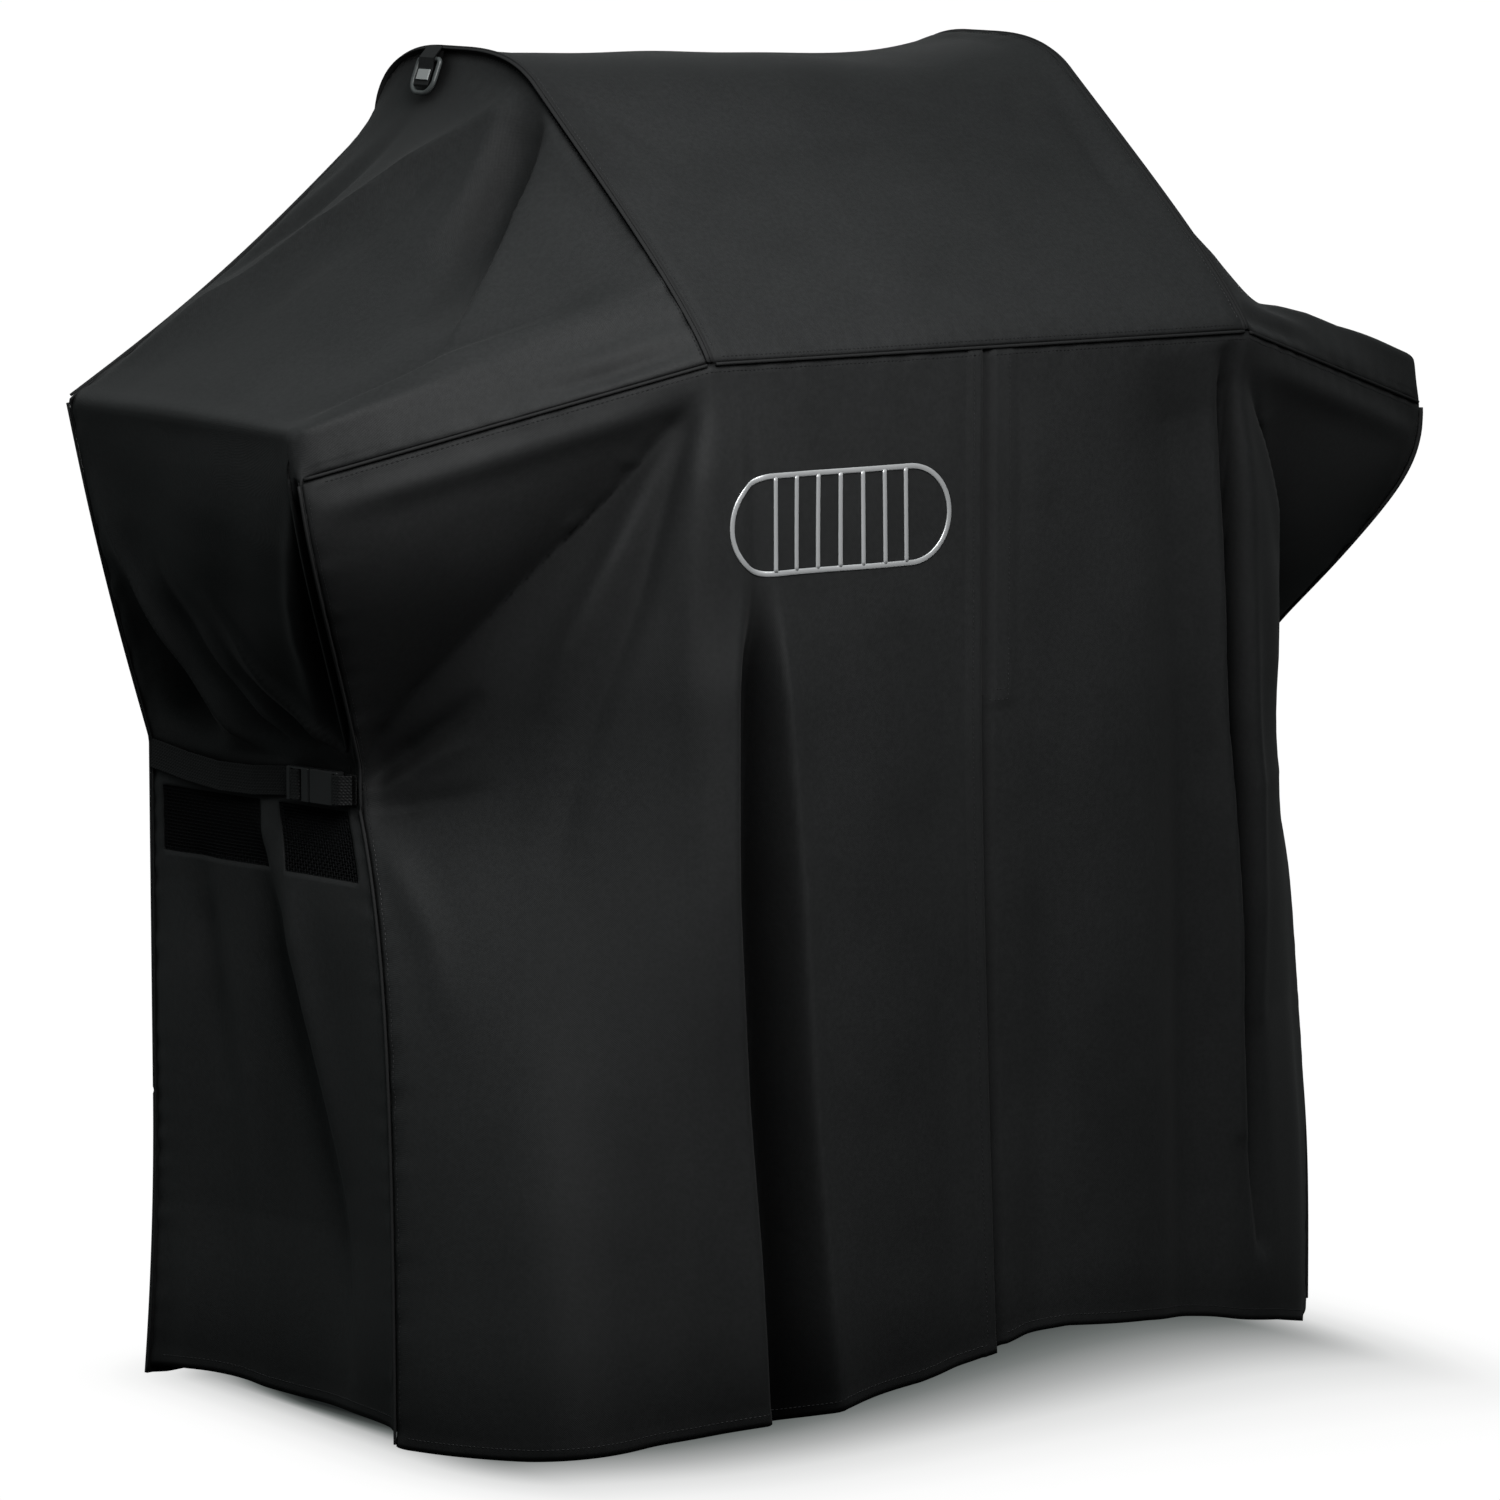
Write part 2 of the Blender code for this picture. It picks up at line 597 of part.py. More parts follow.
def build_socket(word, frame):
    socket = buckle_body(f"{word}_buckle_socket", SOCKET, frame)
    for box in SOCKET_CUTS:
        combine(socket, "cut", *buckle_box(*box), frame)


def build_plug(word, frame):
    plug = buckle_body(f"{word}_buckle_plug", PLUG, frame)
    combine(plug, "add", *buckle_box(*PLUG_GUIDE), frame)
    for slot in PLUG_SLOTS:
        combine(plug, "cut", *buckle_box(*slot, *SLOT_SHAPE), frame)


def build_prong(name, sign, frame):
    """Sprung arm with a catch that stands in the socket's window."""
    shape = bmesh.new()
    ring = [(along, 0.0, sign * (out - ARM_MIDDLE)) for along, out in PRONG_OUTLINE]
    shape.faces.new([shape.verts.new(point) for point in ring])
    extrude_all(shape, (0.0, BUCKLE_T - 2 * PRONG_INSET, 0.0))
    prong = mesh_object(name, shape, "plastic")
    prong.parent = frame
    prong.location = (PRONG_ROOT, BUCKLE_UNDER + PRONG_INSET, sign * ARM_MIDDLE)


def strap(name, path, frame):
    """Webbing along (along, outward) points of the strap frame."""
    points = [Vector((along, outward, 0.0)) for along, outward in path]
    ribbon(name, points, Vector((0.0, 0.0, WEB_W / 2)), WEB_T).parent = frame


def build_strap(side, word):
    front = Vector((side * CINCH_FRONT[0], CINCH_FRONT[1], CINCH_Z))
    rear = Vector((side * REAR_HALF, REAR_Y, CINCH_Z))
    length = (rear - front).length
    along = (rear - front).normalized()
    outward = Vector((side * along.y, -side * along.x, 0.0))
    across = along.cross(outward)
    axes = Matrix((along, outward, across)).transposed().to_4x4()
    frame = bpy.data.objects.new(f"{word}_strap_frame", None)
    frame.matrix_world = Matrix.Translation(front) @ axes
    bpy.context.scene.collection.objects.link(frame)

    build_socket(word, frame)
    build_plug(word, frame)
    build_prong(f"{word}_upper_prong", across.z, frame)
    build_prong(f"{word}_lower_prong", -across.z, frame)

    # Sewn into the front corner, round the socket's bar and back.
    slot = sum(SOCKET_SLOT) / 2
    short = [(0.0035, WEB_UNDER), (slot, WEB_UNDER), (slot, WEB_OVER)]
    short += [(0.0120, WEB_OVER), (0.0045, 0.0048)]
    strap(f"{word}_short_strap", short, frame)

    # Sewn into the rear corner, up through the plug, over its bar and back down.
    near, far = (sum(slot) / 2 for slot in PLUG_SLOTS)
    tail = [(length - 0.004, 0.0018), (0.0840, WEB_UNDER), (far, WEB_UNDER)]
    tail += [(far, WEB_OVER), (near, WEB_OVER), (near, 0.0011)]
    strap(f"{word}_long_strap", tail, frame)


# ---- hang loops ---------------------------------------------------------------------------
LOOP_Y = 0.150            # hang loops, under the hood seam
LOOP_W = 0.036
LOOP_H = 0.044
LOOP_ROD = 0.0042
LOOP_DROP = 0.0105        # the top bar is this far out from the hood seam and below it
LOOP_LEAN = math.radians(21)
TONGUE = 0.024            # the tab's folded end hangs this far below the bar
TAB_HALF = 0.011
TAB_T = 0.0010
TAB_WRAP = LOOP_ROD / 2 + 0.0016   # webbing round the bar, from the bar's middle
TAB_LAYER = 0.0011        # each layer of the tongue lies this far from its middle
TONGUE_TOP = 0.008
TONGUE_FOLD = TONGUE - 0.001


def build_hang_loop(side, word):
    """A plastic D-ring and the webbing tab that holds it by its straight top bar."""
    bar = Vector((side * (HOOD_HALF + LOOP_DROP), LOOP_Y, CROWN[1] - LOOP_DROP))
    down = Vector((side * math.sin(LOOP_LEAN), 0.0, -math.cos(LOOP_LEAN)))
    out = Vector((side * math.cos(LOOP_LEAN), 0.0, math.sin(LOOP_LEAN)))
    across = Vector((0.0, 1.0, 0.0))

    half = LOOP_W / 2 - LOOP_ROD / 2
    leg = LOOP_H - LOOP_ROD - half
    ring = [across * half]
    for k in range(9):
        angle = math.pi * k / 8
        ring.append(across * half * math.cos(angle) + down * (leg + half * math.sin(angle)))
    ring.append(across * -half)
    loop = tube(f"{word}_hang_loop", ring, LOOP_ROD / 2, "plastic", cyclic=True, resolution=1)
    loop.location = bar

    # Webbing folded round the top bar, both ends in the hood seam, its fold hanging
    # as a tongue inside the ring.
    seam = Vector((side * HOOD_HALF, LOOP_Y, CROWN[1]))
    path = [
        seam + Vector((side * 0.0052, 0.0, 0.0002)),
        bar + out * TAB_WRAP,
        bar + down * TONGUE_TOP + out * TAB_LAYER,
        bar + down * TONGUE_FOLD + out * TAB_LAYER,
        bar + down * TONGUE,
        bar + down * TONGUE_FOLD - out * TAB_LAYER,
        bar + down * TONGUE_TOP - out * TAB_LAYER,
        bar - out * TAB_WRAP,
        seam + Vector((side * 0.0042, 0.0, -0.0036)),
    ]
    ribbon(f"{word}_hang_tab", path, across * TAB_HALF, TAB_T)


# ---- badge --------------------------------------------------------------------------------
BADGE_CENTRE = (-0.150, 0.757)   # X, Z
BADGE_SIZE = (0.226, 0.084)
BADGE_T = 0.0010
BADGE_LIFT = 0.0006       # its back stands this far in front of the cloth
BADGE_LINE = 0.0045       # width of the oval line
BADGE_POINTS = 28
BAR_PITCH = 0.022
BAR_HALF = 0.002


def stadium(width, height):
    """Points round a long oval with straight sides."""
    radius = height / 2
    straight = width / 2 - radius
    points = []
    for k in range(BADGE_POINTS):
        angle = 2 * math.pi * (k + 0.5) / BADGE_POINTS
        centre = math.copysign(straight, math.cos(angle))
        points.append((centre + radius * math.cos(angle), radius * math.sin(angle)))
    return points


def build_badge():
    """A flat oval ring with seven upright bars across it."""
    shape = bmesh.new()
    width, height = BADGE_SIZE
    hole = (width - 2 * BADGE_LINE, height - 2 * BADGE_LINE)
    outer = [shape.verts.new((x, 0.0, z)) for x, z in stadium(width, height)]
    inner = [shape.verts.new((x, 0.0, z)) for x, z in stadium(*hole)]
    for k in range(BADGE_POINTS):
        n = (k + 1) % BADGE_POINTS
        shape.faces.new((outer[k], outer[n], inner[n], inner[k]))
    shape.normal_update()
    extrude_all(shape, (0.0, -BADGE_T, 0.0))
    badge = mesh_object("front_badge", shape, "silver")
    badge.location = (BADGE_CENTRE[0], FRONT_Y - BADGE_LIFT, BADGE_CENTRE[1])

    reach = height / 2 - BADGE_LINE / 2
    for k in range(-3, 4):
        x = BAR_PITCH * k
        low, high = (x - BAR_HALF, -BADGE_T, -reach), (x + BAR_HALF, 0.0, reach)
        combine(badge, "add", low, high, badge)


# ---- the whole cover ----------------------------------------------------------------------
clear_scene()
build_hood()
build_facing()
build_rear()
build_cross_bindings()
build_badge()
for side, word in SIDES:
    build_end_panel(side, word)
    build_side_skirt(side, word)
    build_vents(side, word)
    build_front_panel(side, word)
    build_flap(side, word)
    build_side_bindings(side, word)
    build_strap(side, word)
    build_hang_loop(side, word)
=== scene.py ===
"""Fabric cover for a cart grill, draped over the CAD frame: cloth panels, bound seams, stitching,
mesh vents, webbing straps with side-release buckles, hang loops and a plain badge.

Metres. X runs from left to right, the front faces -Y and Z is up from the ground.
A side is -1 (left) or 1 (right). A grid holds points of a panel's outer face as (row, column, xyz).
"""

import math
import bmesh
import bpy
import numpy as np
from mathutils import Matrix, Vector
from mathutils.bvhtree import BVHTree
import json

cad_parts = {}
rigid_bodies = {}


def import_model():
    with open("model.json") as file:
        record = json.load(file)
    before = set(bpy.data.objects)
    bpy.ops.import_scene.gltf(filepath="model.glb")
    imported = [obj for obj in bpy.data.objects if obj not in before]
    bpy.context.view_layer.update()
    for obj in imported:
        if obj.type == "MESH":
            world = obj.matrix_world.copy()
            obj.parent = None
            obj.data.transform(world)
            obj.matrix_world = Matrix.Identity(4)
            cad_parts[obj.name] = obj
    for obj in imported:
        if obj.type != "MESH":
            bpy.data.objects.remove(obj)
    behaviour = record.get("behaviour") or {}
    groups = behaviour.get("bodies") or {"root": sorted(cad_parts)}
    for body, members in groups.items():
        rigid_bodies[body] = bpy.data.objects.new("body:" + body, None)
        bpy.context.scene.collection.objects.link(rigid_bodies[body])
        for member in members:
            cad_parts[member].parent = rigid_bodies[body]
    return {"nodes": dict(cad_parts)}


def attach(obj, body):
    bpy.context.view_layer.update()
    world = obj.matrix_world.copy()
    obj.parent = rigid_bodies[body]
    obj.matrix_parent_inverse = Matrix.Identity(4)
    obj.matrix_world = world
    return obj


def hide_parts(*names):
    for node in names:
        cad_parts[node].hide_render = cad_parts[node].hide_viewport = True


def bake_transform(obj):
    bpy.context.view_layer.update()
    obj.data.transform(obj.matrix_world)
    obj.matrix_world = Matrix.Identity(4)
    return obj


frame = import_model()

SIDES = ((-1, "left"), (1, "right"))

# ---- dimensions of the cover ----------------------------------------------------------------
CLOTH_THICK = 0.0015
HOOD_HALF = 0.277
FRONT_Y, REAR_Y = -0.244, 0.250
SEAM_Z = 0.890  # seam between the hood and the front
SHOULDER, CROWN, CROWN_FLAT = (0.000, 1.100), (0.110, 1.130), 0.040  # (Y, Z) and a length in Y
REAR_SHOULDER_Z = 1.065
SHELF_HALF, SHELF_Z, SHELF_FRONT_Y, SHELF_SEAM_Z = 0.585, 0.8425, -0.111, 0.803
CINCH_Z, CINCH_HALF = 0.532, 0.019  # height and half width of the band the straps pull in
CINCH_TOP, CINCH_BOTTOM = CINCH_Z + CINCH_HALF, CINCH_Z - CINCH_HALF
CINCH_FRONT, HEM_FRONT = (0.460, -0.003), (0.486, -0.090)  # (|X|, Y) of the front corner seam
REAR_HALF = 0.508
SLIT_TOP_Z, SLIT_X = 0.595, -0.0055
HEM_SWING = (REAR_Y + 0.0014 + 0.25 * HEM_FRONT[1] + 0.75 * FRONT_Y) / math.sin(0.75 * math.pi)
VENT_Z = (0.458, 0.513)
VENT_PARTS = {"front": (0.06, 0.38), "rear": (0.47, 0.94)}  # shares from front to rear corner
SEAM_STITCH, HEM_STITCH = 0.0068, 0.0095  # distances of the stitching from its border

# Y of the shelf edge at each of the eleven knots of the hood's side view.
SHELF_KNOT_Y = [-0.111, -0.107, -0.062, -0.018, 0.026, 0.064, 0.102, 0.140, 0.178, 0.215, 0.250]

# Height of the front hem: X, Z.
HEM_LINE = np.array([
    (-0.60, 0.001), (-0.486, 0.002), (-0.403, 0.007), (-0.324, 0.014), (-0.244, 0.019),
    (-0.163, 0.023), (-0.08, 0.031), (0.012, 0.047), (0.046, 0.055), (0.088, 0.058),
    (0.175, 0.051), (0.263, 0.040), (0.332, 0.026), (0.39, 0.010), (0.47, 0.002), (0.60, 0.001),
])


def smooth01(t):
    t = np.clip(t, 0.0, 1.0)
    return t * t * (3 - 2 * t)


def lerp(a, b, t):
    return a + (b - a) * t


def bump(offset, width):
    return np.exp(-((offset / width) ** 2))


def unit(vectors):
    return vectors / np.maximum(np.linalg.norm(vectors, axis=-1, keepdims=True), 1e-12)


def stack(x, y, z):
    """Points from coordinates that are broadcast to one shape."""
    return np.stack(np.broadcast_arrays(x, y, z), axis=-1)


def spaced(stops, counts):
    """Values from stop to stop, with a number of even steps between each pair."""
    runs = [np.linspace(a, b, n + 1)[:-1] for a, b, n in zip(stops, stops[1:], counts)]
    return np.concatenate(runs + [[stops[-1]]])


# ---- materials ------------------------------------------------------------------------------
def add_node(tree, kind, inputs=(), **settings):
    """A shader node. inputs maps sockets to values or to the outputs that feed them."""
    node = tree.nodes.new("ShaderNode" + kind)
    for name, value in settings.items():
        setattr(node, name, value)
    for socket, value in dict(inputs).items():
        if isinstance(value, bpy.types.NodeSocket):
            tree.links.new(value, node.inputs[socket])
        else:
            node.inputs[socket].default_value = value
    return node


def math_node(tree, operation, *values):
    return add_node(tree, "Math", dict(enumerate(values)), operation=operation).outputs[0]


def noise_node(tree, place, **inputs):
    return add_node(tree, "TexNoise", {"Vector": place, **inputs}).outputs["Fac"]


def spread_node(tree, noise, low, high):
    """The middle range of a noise, spread from low to high."""
    limits = {"From Min": 0.3, "From Max": 0.7, "To Min": low, "To Max": high}
    return add_node(tree, "MapRange", {**limits, "Value": noise}).outputs[0]


def principled_material(name):
    material = bpy.data.materials.new(name)
    material.use_nodes = True
    tree = material.node_tree
    return material, tree, tree.nodes["Principled BSDF"]


def link_bump(tree, shader, height, strength, distance):
    values = {"Strength": strength, "Distance": distance, "Height": height}
    tree.links.new(add_node(tree, "Bump", values).outputs[0], shader.inputs["Normal"])


def cloth_material(name, colour, roughness, weave=0.00085, strength=0.35):
    """Coated polyester: a plain weave, slow tone changes, painted shade in hollows and a faint sheen.
    """
    material, tree, shader = principled_material(name)

    def times(a, b):
        return math_node(tree, "MULTIPLY", a, b)

    uv = add_node(tree, "UVMap", uv_map="cloth").outputs["UV"]
    split = add_node(tree, "SeparateXYZ", {0: uv})
    waves = [
        math_node(tree, "SINE", times(split.outputs[axis], math.pi / weave)) for axis in "XY"
    ]
    place = add_node(tree, "TexCoord").outputs["Object"]
    fine = noise_node(tree, place, Scale=420.0, Detail=3.0)
    relief = math_node(tree, "MULTIPLY_ADD", times(*waves), 0.55, fine)
    link_bump(tree, shader, relief, strength=strength, distance=0.0003)

    slow = noise_node(tree, place, Scale=7.0, Detail=5.0, Roughness=0.62)
    grain = noise_node(tree, place, Scale=260.0, Detail=2.0)
    tone = times(*(spread_node(tree, noise, low=0.86, high=1.14) for noise in (slow, grain)))
    # Painted shade: ambient occlusion darkens the base colour in hollows, creases and near the floor.
    hollow = add_node(tree, "AmbientOcclusion", {"Distance": 0.12}, samples=6).outputs["AO"]
    painted_shade_ao = math_node(tree, "POWER", hollow, 1.7)
    tint = add_node(
        tree,
        "Mix",
        {"Factor": 1.0, "A": (*colour, 1.0), "B": times(tone, painted_shade_ao)},
        data_type="RGBA",
        blend_type="MULTIPLY",
    )
    rough = spread_node(tree, slow, low=roughness - 0.06, high=roughness + 0.06)
    # Painted shade: the same occlusion also lowers the specular level in hollows.
    tree.links.new(times(painted_shade_ao, 0.24), shader.inputs["Specular IOR Level"])
    tree.links.new(tint.outputs["Result"], shader.inputs["Base Color"])
    tree.links.new(rough, shader.inputs["Roughness"])
    shader.inputs["Sheen Weight"].default_value = 0.03
    shader.inputs["Sheen Roughness"].default_value = 0.5
    return material


def plain_material(name, colour, roughness, metal=0.0, specular=0.5, grain=0.0, scale=300.0):
    """One colour; grain is the strength of a fine bump and scale its fineness."""
    material, tree, shader = principled_material(name)
    shader.inputs["Base Color"].default_value = (*colour, 1.0)
    shader.inputs["Roughness"].default_value = roughness
    shader.inputs["Metallic"].default_value = metal
    shader.inputs["Specular IOR Level"].default_value = specular
    if grain:
        place = add_node(tree, "TexCoord").outputs["Object"]
        noise = noise_node(tree, place, Scale=scale, Detail=3.0)
        link_bump(tree, shader, noise, strength=grain, distance=0.0002)
    return material


MAT = {
    "cloth": cloth_material("cloth_black", (0.0150, 0.0156, 0.0160), roughness=0.68),
    "lining": cloth_material("cloth_lining", (0.008, 0.0083, 0.0086), roughness=0.7),
    "binding": plain_material("binding_tape", (0.0045, 0.0047, 0.005), roughness=0.85, grain=0.4),
    "thread": plain_material("thread_black", (0.010, 0.010, 0.011), roughness=0.6),
    "webbing": cloth_material(
        "webbing_black", (0.006, 0.0062, 0.0065), roughness=0.6, weave=0.0016, strength=0.8
    ),
    "vent": plain_material("vent_strand", (0.0022, 0.0024, 0.0028), roughness=0.7, specular=0.12),
    "plastic": plain_material(
        "buckle_plastic_black", (0.014, 0.0145, 0.015), roughness=0.30, grain=0.08, scale=900.0
    ),
    "ring": plain_material(
        "hang_loop_grey", (0.055, 0.060, 0.060), roughness=0.36, grain=0.05, scale=900.0
    ),
    "silver": plain_material("badge_silver_print", (0.72, 0.73, 0.74), roughness=0.34, metal=0.55),
    "label": plain_material("label_light", (0.30, 0.31, 0.31), roughness=0.6),
}


# ---- meshes ---------------------------------------------------------------------------------
def add_object(name, verts, faces, material, uv=None, smooth=True):
    mesh = bpy.data.meshes.new(name)
    verts = [tuple(map(float, v)) for v in verts]
    mesh.from_pydata(verts, [], [tuple(map(int, f)) for f in faces])
    if uv is not None:
        layer = mesh.uv_layers.new(name="cloth")
        loops = np.empty(len(mesh.loops), np.int32)
        mesh.loops.foreach_get("vertex_index", loops)
        layer.data.foreach_set("uv", np.asarray(uv, np.float32)[loops].ravel())
    mesh.materials.append(MAT[material])
    if smooth:
        mesh.polygons.foreach_set("use_smooth", np.ones(len(mesh.polygons), bool))
    mesh.update()
    obj = bpy.data.objects.new(name, mesh)
    bpy.context.scene.collection.objects.link(obj)
    return obj


def face_outwards(obj):
    bm = bmesh.new()
    bm.from_mesh(obj.data)
    bmesh.ops.recalc_face_normals(bm, faces=bm.faces[:])
    bm.to_mesh(obj.data)
    bm.free()


def mesh_points(obj):
    points = np.empty(len(obj.data.vertices) * 3, np.float32)
    obj.data.vertices.foreach_get("co", points)
    return points.reshape(-1, 3)


def bend_with_flap(obj):
    """Bakes the object's transform into its mesh and reads the X and Z of its points; nothing turns
    or bends.
    """
    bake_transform(obj)
    x, _, z = mesh_points(obj).astype(float).T


def fit(obj, slot, *replaced, carrier="cover", flap=0):
    """Sets what carries the object and hides the frame pieces it stands for. slot is not used.
    flap is the side of the flap; with it the object only has its transform baked, and nothing carries
    or bends it. Without a carrier the caller has baked its transform."""
    if flap:
        bend_with_flap(obj)
    elif carrier:
        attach(obj, carrier)
    if replaced:
        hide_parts(*replaced)


def grid_normals(grid):
    return unit(np.cross(np.gradient(grid, axis=1), np.gradient(grid, axis=0)))


def oriented_normals(grid, outward):
    normals = grid_normals(grid)
    return -normals if (normals.reshape(-1, 3) @ np.array(outward, float)).sum() < 0 else normals


def distances(points, axis=0):
    """Length run from the start, along one axis of a grid or along a path."""
    step = np.linalg.norm(np.diff(points, axis=axis), axis=-1)
    start = np.zeros_like(np.take(step, [0], axis=axis))
    return np.concatenate([start, np.cumsum(step, axis=axis)], axis=axis)


TOP, BOTTOM, FIRST, LAST = range(4)  # borders of a grid: its end rows and its end columns


def edge_distance(grid):
    """Distance along the sheet from each border."""
    down, along_row = distances(grid, 0), distances(grid, 1)
    return down, down[-1:] - down, along_row, along_row[:, -1:] - along_row


def averaged(values, passes, axis=0):
    """Repeated three-point average along an axis, with the ends held."""
    rows = np.swapaxes(values, 0, axis).copy()
    for _ in range(passes):
        rows[1:-1] = 0.25 * rows[:-2] + 0.5 * rows[1:-1] + 0.25 * rows[2:]
    return np.swapaxes(rows, 0, axis)


def blur(grid, axis, passes, mask):
    return grid + (averaged(grid, passes, axis) - grid) * mask[..., None]


def crease(grid, normals, points, heights, left, right, sharp):
    """Height along the normal of one crease that follows the points, with a height at each.
    left and right are its widths; sharp moves the profile from a soft bump to a tent."""
    flat, flat_normals = grid.reshape(-1, 3), normals.reshape(-1, 3)
    nearest = np.full(len(flat), 1e9)
    height = np.zeros(len(flat))
    sign = np.ones(len(flat))
    for k in range(len(points) - 1):
        start, run = points[k], points[k + 1] - points[k]
        t = np.clip(((flat - start) @ run) / (run @ run), 0, 1)
        off = flat - (start + t[:, None] * run)
        off = off - (off * flat_normals).sum(1)[:, None] * flat_normals
        distance = np.linalg.norm(off, axis=1)
        closer = distance < nearest
        nearest[closer] = distance[closer]
        height[closer] = lerp(heights[k], heights[k + 1], t[closer])
        hand = (np.cross(np.broadcast_to(run, off.shape), off) * flat_normals).sum(1)
        sign[closer] = np.where(hand[closer] >= 0, 1.0, -1.0)
    width = np.where(sign > 0, left, right)
    tip = 0.0015
    tent = np.exp(-(np.sqrt(nearest**2 + tip**2) - tip) / (0.7 * width))
    return (height * lerp(bump(nearest, width), tent, sharp)).reshape(grid.shape[:2])


def creases(grid, normals, table, mirror=1):
    """Sum of a table of creases; mirror -1 moves them to the other side of the cover.
    Its rows are: points, height at each point, left width, right width, sharpness."""
    total = 0.0
    for points, heights, left, right, sharp in table:
        if mirror < 0:
            left, right = right, left
        points = np.array(points, float) * (mirror, 1, 1)
        total = total + crease(grid, normals, points, heights, left, right, sharp)
    return total


def ripple(grid, seed, height, shortest, longest, stretch=(1.0, 1.0, 1.0)):
    """Slow uneven undulation of the cloth: a fixed sum of plane waves."""
    rng = np.random.default_rng(seed)
    points = grid.reshape(-1, 3)
    total = np.zeros(len(points))
    power = 0.0
    for _ in range(16):
        wave = math.exp(rng.uniform(math.log(shortest), math.log(longest)))
        direction = unit(rng.normal(size=3)) * np.array(stretch)
        phase = rng.uniform(0, 2 * math.pi)
        weight = (wave / longest) ** 0.8
        total += weight * np.sin(2 * math.pi * (points @ direction) / wave + phase)
        power += weight * weight / 2
    return (height * total / math.sqrt(power)).reshape(grid.shape[:2])


def sheet(name, grid, outward, keep=None):
    """A closed, two-sided sheet from a grid on its outer face. keep marks the cells that exist."""
    rows, cols = grid.shape[:2]
    normals = oriented_normals(grid, outward)
    count = rows * cols
    index = np.arange(count).reshape(rows, cols)
    corners = (index[:-1, :-1], index[:-1, 1:], index[1:, 1:], index[1:, :-1])
    mask = np.ones((rows - 1, cols - 1), bool) if keep is None else keep
    front = np.stack(corners, axis=2)[mask]
    if np.vdot(grid_normals(grid), normals) < 0:
        front = front[:, ::-1]
    back = front[:, ::-1] + count
    # An edge that no second face runs back along lies on the rim.
    edges = {}
    for quad in front:
        for k in range(4):
            a, b = int(quad[k]), int(quad[(k + 1) % 4])
            if (b, a) in edges:
                del edges[(b, a)]
            else:
                edges[(a, b)] = True
    rim = np.array([(b, a, a + count, b + count) for a, b in edges], int)
    faces = np.concatenate([front, back, rim])
    verts = np.concatenate([grid.reshape(-1, 3), (grid - normals * CLOTH_THICK).reshape(-1, 3)])
    uv = np.stack([distances(grid, 1).reshape(-1), distances(grid, 0).reshape(-1)], axis=1)
    uv = np.concatenate([uv, uv])
    used = np.zeros(2 * count, bool)
    used[faces.ravel()] = True
    renumber = np.cumsum(used) - 1
    obj = add_object(name, verts[used], renumber[faces], "cloth", uv[used])
    obj.data.materials.append(MAT["lining"])
    slots = np.zeros(len(obj.data.polygons), np.int32)
    slots[len(front) : len(front) + len(back)] = 1
    obj.data.polygons.foreach_set("material_index", slots)
    return obj


def rings_mesh(rings, cyclic=False):
    """A tube through rings of equal count: capped at both ends, or cyclic."""
    count, sides = len(rings), len(rings[0])
    faces = []
    for i in range(count if cyclic else count - 1):
        a, b = i * sides, (i + 1) % count * sides
        for j in range(sides):
            k = (j + 1) % sides
            faces.append((a + j, a + k, b + k, b + j))
    if not cyclic:
        faces.append(tuple(range(sides))[::-1])
        faces.append(tuple(range((count - 1) * sides, count * sides)))
    return np.concatenate(rings), faces


def joined(pieces):
    """Vertices and faces of several (vertices, faces) pieces as one mesh."""
    verts, faces = [], []
    for piece_verts, piece_faces in pieces:
        first = len(verts)
        faces.extend(tuple(i + first for i in face) for face in piece_faces)
        verts.extend(piece_verts)
    return verts, faces


def tube_rings(path, radius, sides=8, up=(0, 0, 1), flat=1.0):
    """Rings around a path; flat scales them across its side direction."""
    path = np.array(path, float)
    tangent = unit(np.gradient(path, axis=0))
    side = np.cross(tangent, np.array(up, float))
    upright = np.linalg.norm(side, axis=1) < 1e-3
    side[upright] = np.cross(tangent[upright], np.array((1.0, 0.13, 0.0)))
    side = unit(side)
    top = np.cross(side, tangent)
    angles = (np.arange(sides) * 2 * math.pi / sides)[:, None]
    return [
        p + radius * (np.cos(angles) * s + flat * np.sin(angles) * t)
        for p, s, t in zip(path, side, top)
    ]


def along(path, step):
    """The path resampled at an even spacing."""
    path = np.array(path, float)
    run = distances(path)
    t = np.linspace(0, run[-1], max(2, int(round(run[-1] / step)) + 1))
    return np.stack([np.interp(t, run, values) for values in path.T], axis=1)


# Thread dashes: spacing, length, radius, height over the cloth.
STITCH_PITCH, STITCH_LENGTH, STITCH_RADIUS, STITCH_LIFT = 0.0042, 0.0030, 0.00032, 0.0001
# A dash is a point, two rings of four and a point.
STITCH_FACES = []
for k, j in ((0, 1), (1, 2), (2, 3), (3, 0)):
    STITCH_FACES += [(0, 1 + k, 1 + j), (1 + k, 5 + k, 5 + j, 1 + j), (5 + k, 9, 5 + j)]


def line_stitches(path, normals):
    """The dashes of one line, as an array (dash, vertex, xyz)."""
    path, normals = np.array(path, float), np.array(normals, float)
    run = distances(path)
    keep = np.concatenate([[True], np.diff(run) > 1e-9])
    run, path, normals = run[keep], path[keep], normals[keep]
    start = (np.arange(int(run[-1] / STITCH_PITCH)) + 0.2) * STITCH_PITCH

    def at(values, offset):
        return np.stack([np.interp(start + offset, run, column) for column in values.T], axis=1)

    out = unit(at(normals, STITCH_LENGTH / 2))
    head = at(path, 0.0) + out * STITCH_LIFT
    tail = at(path, STITCH_LENGTH) + out * STITCH_LIFT
    forward = unit(tail - head)
    middle, reach = (head + tail) / 2, forward * STITCH_LENGTH * 0.28
    side, out = np.cross(forward, out) * STITCH_RADIUS, out * STITCH_RADIUS
    rings = [middle + end + turn for end in (-reach, reach) for turn in (side, out, -side, -out)]
    return np.stack([head - out, *rings, tail - out], axis=1)


